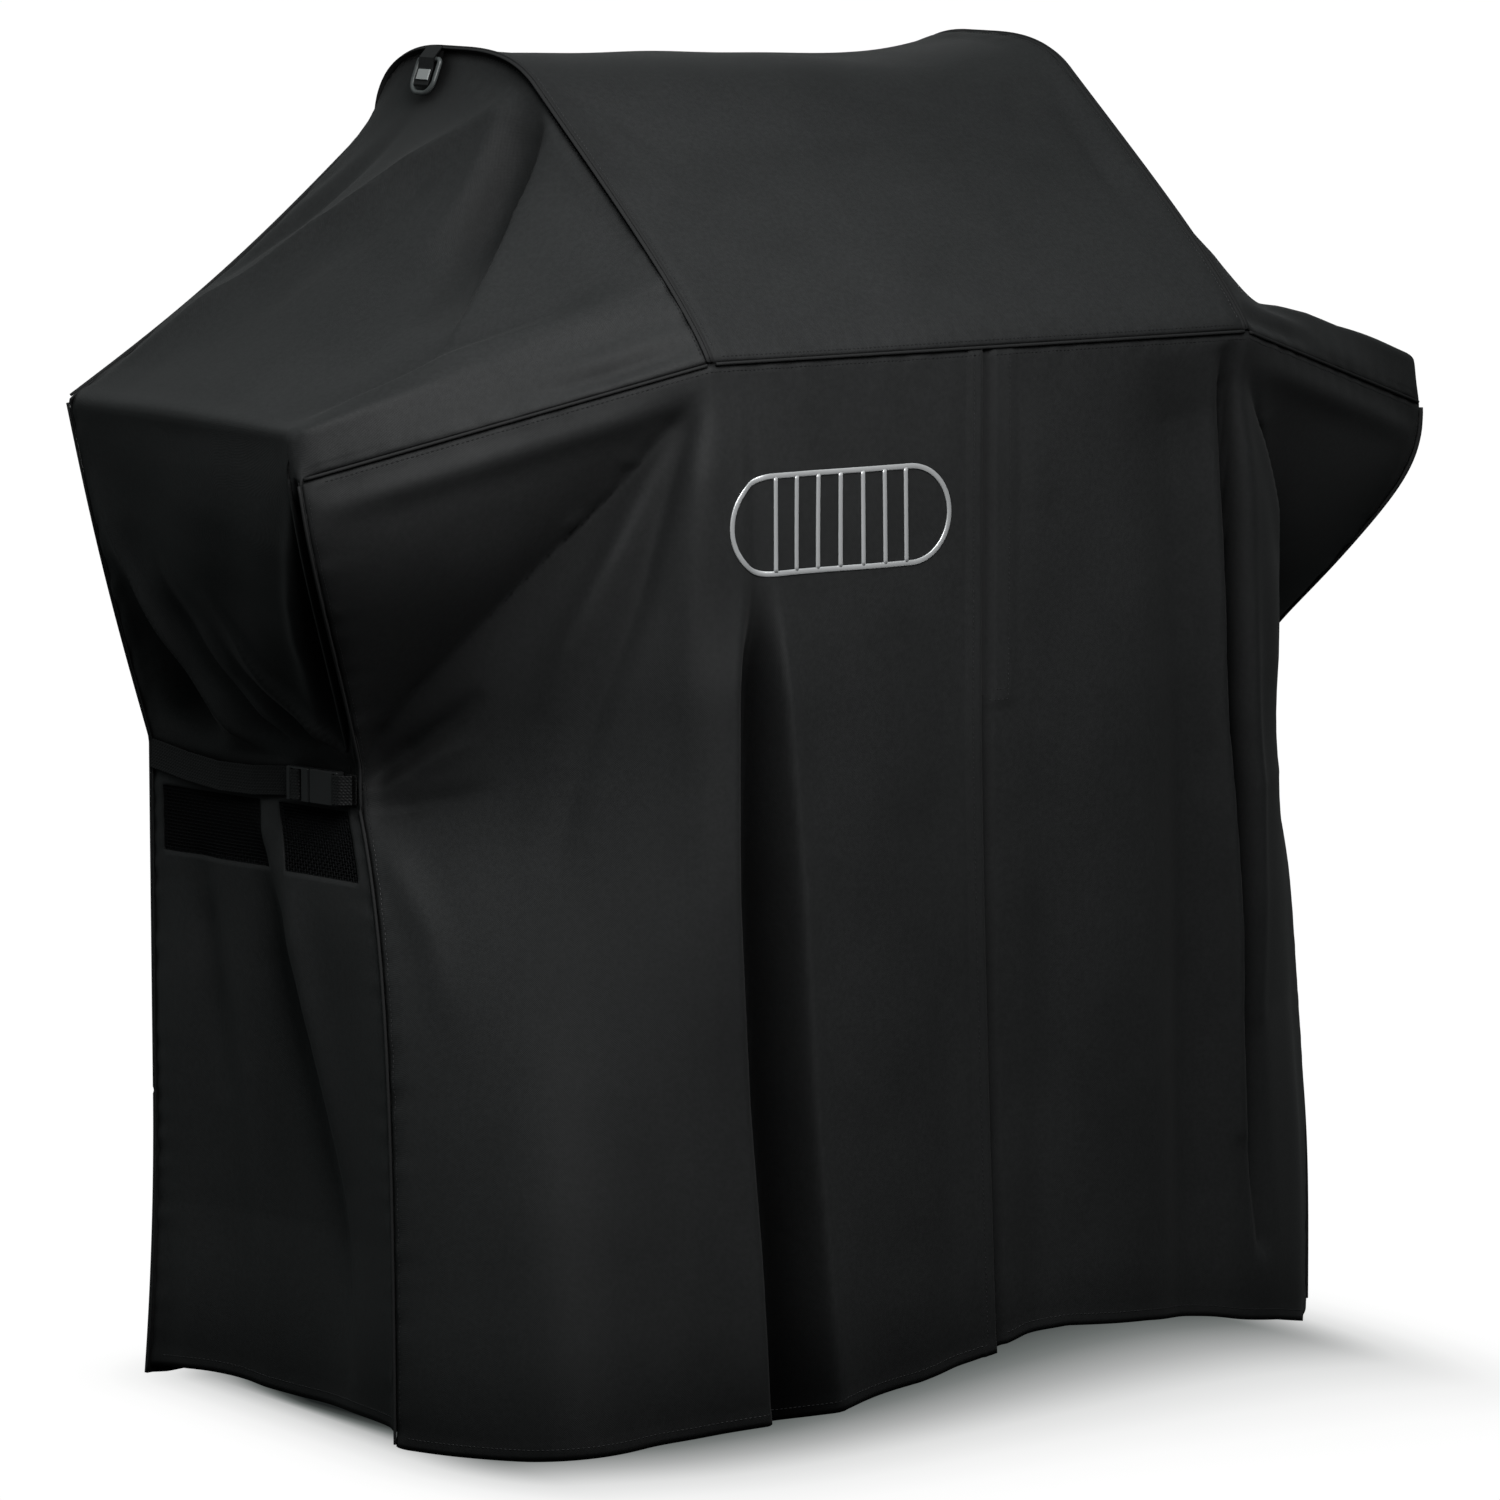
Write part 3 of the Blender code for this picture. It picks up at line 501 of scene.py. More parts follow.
def add_stitching(name, lines, flap=0):
    dashes = (dash for line in lines for dash in line_stitches(*line))
    verts, faces = joined((dash, STITCH_FACES) for dash in dashes)
    fit(add_object(name, verts, faces, "thread", smooth=False), "seam_binding", flap=flap)


# ---- outlines -------------------------------------------------------------------------------
def bezier(a, b, c, d, t):
    a, b, c, d = (np.array(point)[:, None] for point in (a, b, c, d))
    s = 1 - t
    return s**3 * a + 3 * s * s * t * b + 3 * s * t * t * c + t**3 * d


def arch_outline():
    """The hood's side view: knot number, Y, Z. The front slope bellies out near its seam."""
    t = np.linspace(0, 1, 60)[:-1]
    belly = 0.0095 * np.sin(math.pi * t**0.6)
    slope = (
        np.interp(t, (0, 0.25, 0.48, 0.74, 1.0), range(5)),
        lerp(FRONT_Y, SHOULDER[0], t) - belly * 0.652,
        lerp(SEAM_Z, SHOULDER[1], t) + belly * 0.758,
    )
    t = np.linspace(0, 1, 16)[:-1]
    shoulder = (4 + 2 * t, *bezier(SHOULDER, (0.030, 1.126), (0.070, CROWN[1]), CROWN, t))
    t = np.linspace(0, 1, 8)[:-1]
    crown = (6 + t, CROWN[0] + CROWN_FLAT * t, np.full_like(t, CROWN[1]))
    t = np.linspace(0, 1, 24)
    crown_end, rear_end = (CROWN[0] + CROWN_FLAT, CROWN[1]), (REAR_Y, REAR_SHOULDER_Z)
    rear = (
        np.interp(t, (0, 0.35, 0.7, 1.0), (7, 8, 9, 10)),
        *bezier(crown_end, (0.200, CROWN[1]), (0.246, 1.112), rear_end, t),
    )
    return np.concatenate([np.array(part) for part in (slope, shoulder, crown, rear)], axis=1).T


ARCH = arch_outline()
ARCH_RUN = distances(ARCH[:, 1:])


def arch_at(share):
    """(knot, Y, Z) at a share of the arch's length."""
    return tuple(np.interp(share * ARCH_RUN[-1], ARCH_RUN, column) for column in ARCH.T)


def front_corner(z):
    """|X| and Y of the front corner seam; between shelf and strap it bows outwards."""
    share = np.clip((z - CINCH_TOP) / (SHELF_SEAM_Z - CINCH_TOP), 0, 1)
    bow = np.sin(math.pi * share**2)
    x = lerp(CINCH_FRONT[0], SHELF_HALF, share) + 0.017 * bow
    y = lerp(CINCH_FRONT[1], SHELF_FRONT_Y, share) - 0.0235 * bow
    low = 1 - np.exp(-np.maximum(CINCH_BOTTOM - z, 0) / 0.12)
    x = np.where(z < CINCH_BOTTOM, lerp(CINCH_FRONT[0], HEM_FRONT[0], low), x)
    y = np.where(z < CINCH_BOTTOM, lerp(CINCH_FRONT[1], HEM_FRONT[1], low), y)
    return x, y


def loose_corner(z, reach):
    """The corner seam as cloth further along feels it: averaged over a height of 2 * reach."""
    xs, ys, total = 0.0, 0.0, 0.0
    for k in np.linspace(-1, 1, 13):
        weight = 0.5 + 0.5 * math.cos(math.pi * k * 0.95)
        x, y = front_corner(z + k * reach)
        xs, ys, total = xs + weight * x, ys + weight * y, total + weight
    return xs / total, ys / total


def rear_corner(z):
    """|X| of the rear corner seam."""
    share = np.clip((z - CINCH_TOP) / (SHELF_Z - CINCH_TOP), 0, 1)
    x = lerp(REAR_HALF, SHELF_HALF, share) + 0.004 * np.sin(math.pi * share)
    return np.where(z < CINCH_TOP, REAR_HALF + 0.012 * np.maximum(0, 1 - z / 0.25) ** 2, x)


def side_wall(side, part, z):
    """Points at a share from front to rear corner; below the vents the wall hollows inwards."""
    front_x, front_y = front_corner(z)
    depth = 0.030 * np.sin(math.pi * part) * np.clip((VENT_Z[0] - z) / 0.30, 0, 1)
    x = side * (lerp(front_x, rear_corner(z), part) - depth)
    return stack(x, lerp(front_y, REAR_Y, part), z)


def hem_height(x):
    return np.interp(x, *HEM_LINE.T)


def roof_line(x):
    """Height of the rear panel's top edge."""
    share = np.clip((np.abs(x) - HOOD_HALF) / (SHELF_HALF - HOOD_HALF), 0, 1)
    return lerp(REAR_SHOULDER_Z, SHELF_Z, share) - 0.012 * np.sin(math.pi * share)


def slit_line(z):
    """X where the upper layer ends at the slit: its free corner has swung a little to the right."""
    return SLIT_X + 0.021 * np.clip((SLIT_TOP_Z - z) / SLIT_TOP_Z, 0, 1) ** 1.3


# ---- panels ---------------------------------------------------------------------------------
PANELS = {}  # finished grid and outward direction of each panel


def finish_panel(grid, outward, heights, sewn, seed, pucker=0.0007):
    """Moves the grid out by the heights, rolls its sewn borders under and puckers them."""
    normals = oriented_normals(grid, outward)
    edges = edge_distance(grid)
    inner = np.ones(grid.shape[:2])
    for border in sewn:
        inner = inner * smooth01(edges[border] / 0.018)
    cloth = grid + normals * (heights * inner)[..., None]
    rng = np.random.default_rng(seed)
    rise = np.zeros(grid.shape[:2])
    for border in sewn:
        run = edges[FIRST] if border in (TOP, BOTTOM) else edges[TOP]
        edge = edges[border]
        wave = np.zeros_like(run)
        for _ in range(5):
            pitch = rng.uniform(0.016, 0.045)
            wave += np.sin(2 * math.pi * run / pitch + rng.uniform(0, 6.28))
        rise += pucker * 0.5 * wave * np.exp(-edge / 0.012) * smooth01(edge / 0.004)
        rise -= 0.0024 * bump(edge, 0.0028)
        rise -= 0.0007 * bump(edge - SEAM_STITCH, 0.0014)
    return cloth + oriented_normals(cloth, outward) * rise[..., None]


def hem_fold(grid, outward, to_bottom):
    """The turned-up hem is one layer thicker."""
    depth = 0.011
    lift = 0.0008 * (1 - smooth01((to_bottom - depth) / 0.0016))
    lift = lift - 0.0005 * bump(to_bottom - depth + 0.0022, 0.0012)
    return grid + oriented_normals(grid, outward) * lift[..., None]


def add_panel(key, grid, outward, *replaced, keep=None, flap=0):
    PANELS[key] = grid, outward
    fit(sheet(f"{key}_cloth", grid, outward, keep), "cover_fabric", *replaced, flap=flap)


# ---- hood -----------------------------------------------------------------------------------
HOOD_CREASES = [
    # Left shoulder.
    ([(-0.262, 0.010, 1.105), (-0.244, -0.009, 1.09), (-0.239, -0.045, 1.059),
      (-0.226, -0.100, 1.012)], [0, -0.0022, -0.0028, 0], 0.010, 0.018, 0.3),
    ([(-0.250, 0.012, 1.108), (-0.227, -0.013, 1.086), (-0.200, -0.054, 1.05),
      (-0.175, -0.09, 1.02)], [0, -0.0016, -0.0020, 0], 0.012, 0.014, 0.3),
    ([(-0.235, 0.022, 1.112), (-0.19, -0.01, 1.09), (-0.13, -0.055, 1.05)],
     [0, 0.0018, 0], 0.02, 0.02, 0.2),
    # Right shoulder.
    ([(0.262, 0.006, 1.10), (0.244, -0.04, 1.066), (0.236, -0.10, 1.012), (0.235, -0.16, 0.965)],
     [0, -0.0022, -0.0026, 0], 0.016, 0.012, 0.3),
    ([(0.240, 0.02, 1.112), (0.205, -0.02, 1.083), (0.17, -0.08, 1.03)],
     [0, -0.0014, 0], 0.014, 0.014, 0.3),
    # Across the slope, above the front seam.
    ([(-0.26, -0.21, 0.925), (-0.1, -0.222, 0.915), (0.1, -0.224, 0.912), (0.26, -0.222, 0.914)],
     [0, 0.0018, 0.0018, 0], 0.013, 0.03, 0.2),
]


def build_hood():
    outward = (0, -0.3, 1)
    knot, y, z = (values[:, None] for values in arch_at(np.linspace(0, 1, 150)))
    x = np.linspace(-HOOD_HALF, HOOD_HALF, 150)[None]
    slack = np.interp(knot, range(11), (0.0, 0.25, 0.5, 0.8, 1.0, 1.0, 1.0, 1.0, 0.9, 0.5, 0.0))
    sag = 0.0105 * slack * (1 - np.abs(x / HOOD_HALF) ** 4)
    sag = sag + 0.0065 * slack * bump(x - 0.15, 0.11) * smooth01((HOOD_HALF - x) / 0.03)
    grid = stack(x, y, z - sag)
    heights = ripple(grid, seed=11, height=0.0010, shortest=0.10, longest=0.34)
    heights += creases(grid, oriented_normals(grid, outward), HOOD_CREASES)
    sewn = (TOP, BOTTOM, FIRST, LAST)
    cloth = finish_panel(grid, outward, heights, sewn, seed=3, pucker=0.0003)
    add_panel("hood", cloth, outward, "hood_panel")


# ---- sloping ends ---------------------------------------------------------------------------
ROOF_ROWS = 84  # rows from the hood out to the shelf edge; the wall's rows follow

# Tension ridge from the crown to the rear shelf corner; it bows forwards.
RIDGE = [
    (x, y - 0.022 * math.sin(math.pi * i / 5) - 0.012 * (i < 2), z)
    for i, (x, y, z) in enumerate([
        (-0.283, 0.045, 1.108), (-0.295, 0.063, 1.081), (-0.333, 0.120, 1.027),
        (-0.390, 0.175, 0.969), (-0.474, 0.214, 0.917), (-0.567, 0.236, 0.856),
    ])
]
# Crease above the front seam.
BAND = [(-0.575, -0.095, 0.846), (-0.528, -0.103, 0.861), (-0.446, -0.122, 0.889),
        (-0.370, -0.150, 0.912), (-0.300, -0.168, 0.940)]

# Creases of the left end; the right end mirrors them.
ROOF_CREASES = [
    (RIDGE, [0, 0.004, 0.0065, 0.0065, 0.005, 0.001], 0.009, 0.014, 0.8),
    (RIDGE, [0, 0.007, 0.016, 0.017, 0.011, 0], 0.040, 0.050, 0.3),
    # Behind the ridge.
    ([(-0.300, 0.150, 1.085), (-0.345, 0.190, 1.020), (-0.410, 0.222, 0.965),
      (-0.500, 0.238, 0.900)], [0, -0.005, -0.005, 0], 0.014, 0.014, 0.2),
    ([(-0.31, 0.19, 1.075), (-0.37, 0.225, 1.0), (-0.46, 0.24, 0.93)],
     [0, 0.004, 0], 0.012, 0.012, 0.3),
    # Facet edge below the crown, with the hollow on its rear side.
    ([(-0.281, -0.005, 1.092), (-0.284, -0.020, 1.067), (-0.298, -0.026, 1.035),
      (-0.321, -0.033, 0.999), (-0.350, -0.048, 0.965), (-0.386, -0.072, 0.931),
      (-0.430, -0.100, 0.900), (-0.47, -0.118, 0.880)],
     [0, 0.007, 0.012, 0.015, 0.014, 0.010, 0.004, 0], 0.050, 0.007, 0.5),
    ([(-0.283, 0.012, 1.09), (-0.295, 0.004, 1.055), (-0.318, -0.002, 1.02),
      (-0.345, -0.012, 0.985), (-0.385, -0.030, 0.945), (-0.43, -0.055, 0.905)],
     [0, -0.009, -0.014, -0.014, -0.009, 0], 0.024, 0.020, 0),
    ([(-0.286, 0.030, 1.10), (-0.303, 0.032, 1.06), (-0.335, 0.03, 1.005), (-0.38, 0.03, 0.955)],
     [0, 0.0045, 0.0035, 0], 0.012, 0.010, 0.5),
    ([(-0.30, 0.048, 1.075), (-0.345, 0.075, 1.01), (-0.41, 0.10, 0.94)],
     [0, -0.004, 0], 0.014, 0.014, 0.2),
    ([(-0.33, 0.06, 1.02), (-0.40, 0.09, 0.95), (-0.50, 0.12, 0.875)],
     [0, 0.003, 0], 0.02, 0.02, 0.2),
    # Above the front seam, and close to the hood.
    (BAND, [0, 0.003, 0.004, 0.003, 0], 0.010, 0.012, 0.5),
    ([(x, y + 0.018, z + 0.012) for x, y, z in BAND],
     [0, -0.004, -0.005, -0.003, 0], 0.014, 0.010, 0.2),
    ([(-0.410, -0.176, 0.862), (-0.356, -0.201, 0.878), (-0.286, -0.226, 0.901)],
     [0, -0.003, -0.002], 0.008, 0.008, 0.2),
    ([(-0.40, -0.165, 0.873), (-0.35, -0.19, 0.890), (-0.29, -0.214, 0.912)],
     [0, 0.003, 0.001], 0.010, 0.010, 0.2),
    # Shelf edge: the cloth is stretched over it.
    ([(-0.585, -0.09, 0.8425), (-0.585, 0.07, 0.8425), (-0.585, 0.235, 0.8425)],
     [0.003, 0.006, 0.003], 0.009, 0.012, 0.4),
]
# Folds that run down and forwards to the pinched corner, from the rear to the front.
WALL_CREASES = [
    ([(-0.567, 0.236, 0.785), (-0.560, 0.225, 0.749), (-0.551, 0.210, 0.716),
      (-0.540, 0.190, 0.684), (-0.529, 0.172, 0.650), (-0.513, 0.150, 0.610),
      (-0.495, 0.128, 0.572), (-0.480, 0.098, 0.545)],
     [0, 0.004, 0.008, 0.012, 0.013, 0.012, 0.010, 0.006], 0.010, 0.016, 0.7),
    ([(-0.551, 0.232, 0.715), (-0.538, 0.222, 0.668), (-0.524, 0.208, 0.626),
      (-0.508, 0.192, 0.585), (-0.498, 0.170, 0.555)],
     [0, -0.012, -0.021, -0.026, -0.022], 0.016, 0.022, 0.2),
    ([(-0.548, 0.165, 0.720), (-0.533, 0.152, 0.670), (-0.515, 0.128, 0.622),
      (-0.495, 0.100, 0.580), (-0.478, 0.066, 0.550)],
     [0, -0.004, -0.007, -0.010, -0.009], 0.009, 0.010, 0.4),
    ([(-0.553, 0.148, 0.722), (-0.535, 0.128, 0.675), (-0.516, 0.102, 0.628),
      (-0.494, 0.068, 0.583), (-0.475, 0.036, 0.552)],
     [0, 0.003, 0.006, 0.008, 0.007], 0.010, 0.010, 0.4),
    ([(-0.532, 0.112, 0.660), (-0.514, 0.090, 0.620), (-0.497, 0.064, 0.590),
      (-0.480, 0.038, 0.565), (-0.470, 0.022, 0.550)],
     [0, -0.008, -0.015, -0.018, -0.016], 0.010, 0.015, 0.3),
    ([(-0.543, 0.098, 0.700), (-0.530, 0.083, 0.673), (-0.517, 0.068, 0.646),
      (-0.506, 0.052, 0.622), (-0.492, 0.030, 0.597), (-0.477, 0.012, 0.574),
      (-0.466, 0.003, 0.556)],
     [0, 0.004, 0.008, 0.010, 0.011, 0.010, 0.006], 0.0045, 0.022, 0.7),
]
# The front corner of the shelf shows through as a short upright crease.
CORNER_CREASES = [
    ([(-0.585, -0.096, 0.838), (-0.584, -0.093, 0.806)], [0.002, 0.001], 0.008, 0.008, 0.4),
]


def end_grid(side):
    """Columns run along the arch, rows out to the shelf edge and down the wall to the strap."""
    knot, arch_y, arch_z = arch_at(np.linspace(0, 1, 132))
    shelf_y = np.interp(knot, range(11), SHELF_KNOT_Y)
    shelf_z = np.interp(knot, (0, 1), (SHELF_SEAM_Z, SHELF_Z))
    slack = (0.0, 0.0, 0.35, 0.75, 1.0, 1.0, 1.0, 1.0, 0.95, 0.62, 0.0)
    slack = averaged(np.interp(knot, range(11), slack), 6)
    out = spaced((0, 0.12, 1), (13, 70))[:, None]
    sag = slack * 0.055 * np.sin(math.pi * out**0.55)
    sag = sag + 0.012 * np.sin(math.pi * out) * smooth01(knot - 9)
    roof = stack(
        side * lerp(HOOD_HALF, SHELF_HALF, out),
        lerp(arch_y, shelf_y, out),
        lerp(arch_z, shelf_z, out) - sag,
    )
    corner = 0.045
    part = np.clip((shelf_y - SHELF_FRONT_Y) / (REAR_Y - SHELF_FRONT_Y), 0, 1)
    part = np.where(knot < 1, corner * knot, np.maximum(part, corner))
    down = np.linspace(0, 1, 76)[1:, None]
    wall = side_wall(side, part[None], lerp(shelf_z, CINCH_Z, down))
    grid = np.concatenate([roof, wall])
    row, col = np.arange(len(grid))[:, None], np.arange(len(knot))[None]
    grid = blur(grid, 0, 10, bump(row - ROOF_ROWS + 1, 5.0))
    first_knot = int(np.searchsorted(knot, 1.0))
    near_knot = bump(col - first_knot, 4.0) * (row < ROOF_ROWS) * smooth01(row / 6.0)
    return blur(grid, 1, 6, near_knot)


def pleat_heights(grid, on_wall):
    """The wall tucks in behind the front edge, most in the middle."""
    drop = np.clip((SHELF_SEAM_Z - grid[..., 2]) / (SHELF_SEAM_Z - 0.556), 0, 1)
    depth = 0.026 * np.sin(math.pi * drop**0.75) ** 0.8 * on_wall
    run = distances(grid, 1)
    reach = 0.012 + 0.020 * np.sin(math.pi * drop) ** 0.7
    tuck = smooth01(run / 0.007) * (1 - smooth01((run - reach) / 0.020))
    lip = 0.004 * np.sin(math.pi * drop) * bump(run - reach - 0.022, 0.010)
    return lip - depth * tuck


def build_end(side, word):
    outward = (side, 0, 0.6)
    grid = end_grid(side)
    normals = oriented_normals(grid, outward)
    z = grid[..., 2]
    on_wall = np.arange(len(grid))[:, None] >= ROOF_ROWS
    seed = 21 if side < 0 else 22
    roof = ripple(grid, seed=seed, height=0.0012, shortest=0.07, longest=0.26)
    roof += creases(grid, normals, ROOF_CREASES, -side)
    wall = creases(grid, normals, WALL_CREASES, -side) + pleat_heights(grid, on_wall)
    wall += creases(grid, normals, CORNER_CREASES, -side)
    waves = ripple(grid, seed=25, height=0.0014, shortest=0.05, longest=0.16)
    wall += waves * smooth01((0.80 - z) / 0.1)
    # At the strap the wall lies back against the skirt, clear of the buckle.
    heights = roof * np.where(on_wall, smooth01((z - 0.552) / 0.030), 1.0)
    heights += wall * np.where(on_wall, smooth01((z - 0.5465) / 0.030), 1.0)
    cloth = finish_panel(grid, outward, heights, (TOP, FIRST, LAST), seed=5)
    add_panel(f"{word}_end", cloth, outward, f"{word}_end_panel")


# ---- side skirts ----------------------------------------------------------------------------
# Creases of the left skirt; the right skirt mirrors them.
SKIRT_CREASES = [
    ([(-0.488, 0.108, 0.462), (-0.486, 0.098, 0.420), (-0.484, 0.092, 0.381),
      (-0.479, 0.074, 0.330), (-0.474, 0.053, 0.265), (-0.470, 0.030, 0.190),
      (-0.468, 0.010, 0.110), (-0.468, 0.0, 0.05)],
     [-0.006, -0.013, -0.016, -0.016, -0.014, -0.011, -0.006, -0.002], 0.016, 0.024, 0.4),
    ([(-0.489, 0.070, 0.455), (-0.486, 0.060, 0.40), (-0.482, 0.044, 0.345),
      (-0.477, 0.022, 0.28), (-0.473, -0.004, 0.20)],
     [0.002, 0.008, 0.009, 0.006, 0], 0.018, 0.022, 0.3),
    ([(-0.499, 0.186, 0.452), (-0.497, 0.182, 0.404), (-0.494, 0.173, 0.336), (-0.49, 0.165, 0.25)],
     [-0.004, -0.010, -0.007, 0], 0.016, 0.016, 0.2),
    ([(-0.503, 0.215, 0.44), (-0.502, 0.212, 0.30), (-0.506, 0.208, 0.12), (-0.51, 0.206, 0.01)],
     [0, 0.005, 0.006, 0.006], 0.024, 0.024, 0.2),
    ([(-0.49, 0.14, 0.40), (-0.483, 0.132, 0.28), (-0.48, 0.125, 0.13), (-0.48, 0.12, 0.01)],
     [0, 0.006, 0.006, 0.004], 0.022, 0.022, 0.2),
    # The fold between the two windows bellies out a little.
    ([(-0.482, 0.100, 0.520), (-0.484, 0.104, 0.490), (-0.487, 0.108, 0.455)],
     [0, 0.0035, 0.002], 0.014, 0.014, 0.2),
]
SKIRT_FOOT_Z = 0.0125
MESH_PITCH, STRAND_RADIUS, MESH_OVERLAP = 0.0031, 0.00048, 0.0016


def build_vent(name, replaced, window, normal):
    """Crossed strands over a window's grid, framed by a narrow tape behind the cloth."""
    rows, cols = window.shape[:2]
    down, across = distances(window, 0)[:, 0], distances(window, 1)[0]
    tall, wide = down[-1], across[-1]
    upright_count, level_count = int(wide / MESH_PITCH), int(tall / MESH_PITCH)

    def at(u, v):
        row, col = np.interp(v, down, range(rows)), np.interp(u, across, range(cols))
        i, j = np.minimum(row.astype(int), rows - 2), np.minimum(col.astype(int), cols - 2)
        di, dj = (row - i)[:, None], (col - j)[:, None]
        upper = window[i, j] * (1 - dj) + window[i, j + 1] * dj
        lower = window[i + 1, j] * (1 - dj) + window[i + 1, j + 1] * dj
        return upper * (1 - di) + lower * di

    def strand(u, v, phase):
        weave = 0.0003 * np.cos(math.pi * np.arange(len(u)) + phase)
        path = at(u, v) + normal * weave[:, None]
        return rings_mesh(tube_rings(path, STRAND_RADIUS, 4, normal))

    pieces = []
    for k in range(1, upright_count + 1):
        u = np.full(level_count + 2, wide * k / (upright_count + 1))
        v = np.linspace(-MESH_OVERLAP, tall + MESH_OVERLAP, level_count + 2)
        pieces.append(strand(u, np.clip(v, 0, tall), math.pi * k))
    for k in range(1, level_count + 1):
        v = np.full(upright_count + 2, tall * k / (level_count + 1))
        pieces.append(strand(np.linspace(0, wide, upright_count + 2), v, math.pi * (k + 1)))
    borders = (window[0], window[:, -1], window[-1, ::-1], window[::-1, 0])
    loop = np.concatenate([border[:-1] for border in borders])
    loop = np.concatenate([loop, loop[:1]]) - normal * 0.0009
    pieces.append(rings_mesh(tube_rings(loop, 0.0022, 4, normal, flat=0.3)))
    fit(add_object(name, *joined(pieces), "vent", smooth=False), "vent_mesh", replaced)


def build_skirt(side, word):
    outward = (side, 0, 0)
    part = spaced((0, *VENT_PARTS["front"], *VENT_PARTS["rear"], 1), (5, 20, 7, 29, 5))
    level = spaced((CINCH_Z, VENT_Z[1], VENT_Z[0], SKIRT_FOOT_Z), (6, 14, 92))
    parts, z = np.meshgrid(part, level)
    # The lowest quarter metre stretches to an uneven hem.
    hem = SKIRT_FOOT_Z + 0.004 * np.sin(parts * 9.0 + 0.6) * parts + 0.002 * (1 - parts)
    z = np.where(z < 0.25, lerp(hem, 0.25, (z - SKIRT_FOOT_Z) / (0.25 - SKIRT_FOOT_Z)), z)
    grid = side_wall(side, parts, z)
    seed = 31 if side < 0 else 32
    heights = ripple(grid, seed, height=0.0020, shortest=0.06, longest=0.22, stretch=(1, 1, 0.35))
    heights *= smooth01((0.455 - z) / 0.10)
    heights += creases(grid, oriented_normals(grid, outward), SKIRT_CREASES, -side)
    heights *= smooth01((0.5215 - z) / 0.012)
    cloth = finish_panel(grid, outward, heights, (FIRST, LAST), seed=8)
    cloth = hem_fold(cloth, outward, edge_distance(cloth)[BOTTOM])

    keep = np.ones((len(level) - 1, len(part) - 1), bool)
    windows = {}
    top, bottom = (int(np.searchsorted(-level, -edge - 1e-6)) for edge in VENT_Z[::-1])
    for which, ends in VENT_PARTS.items():
        first, last = (int(np.searchsorted(part, end - 1e-6)) for end in ends)
        keep[top:bottom, first:last] = False
        windows[which] = (top, bottom, first, last)
    add_panel(f"{word}_skirt", cloth, outward, f"{word}_side_skirt", keep=keep)

    normals = oriented_normals(cloth, outward)
    behind = cloth - normals * 0.0012
    for which, (top, bottom, first, last) in windows.items():
        window = behind[top : bottom + 1, first : last + 1]
        normal = normals[(top + bottom) // 2, (first + last) // 2]
        vent = f"{word}_{which}_vent"
        build_vent(f"{vent}_net", f"{vent}_mesh", window, normal)


# ---- front ----------------------------------------------------------------------------------
WING_COLUMNS = 68
# Columns between hood corner and slit, X of the last one, and the seeds of ripple and pucker.
FRONT_LAYOUT = {-1: (95, SLIT_X, 41, 14), 1: (65, -0.0205, 42, 15)}
# How far the right wing swings out: Z, swing.
RIGHT_SWING = np.array([
    (0.0, 0.018), (0.2, 0.016), (0.3, 0.017), (0.4, 0.026),
    (0.5, 0.031), (0.6, 0.021), (0.7, 0.006), (0.8, 0.0),
])
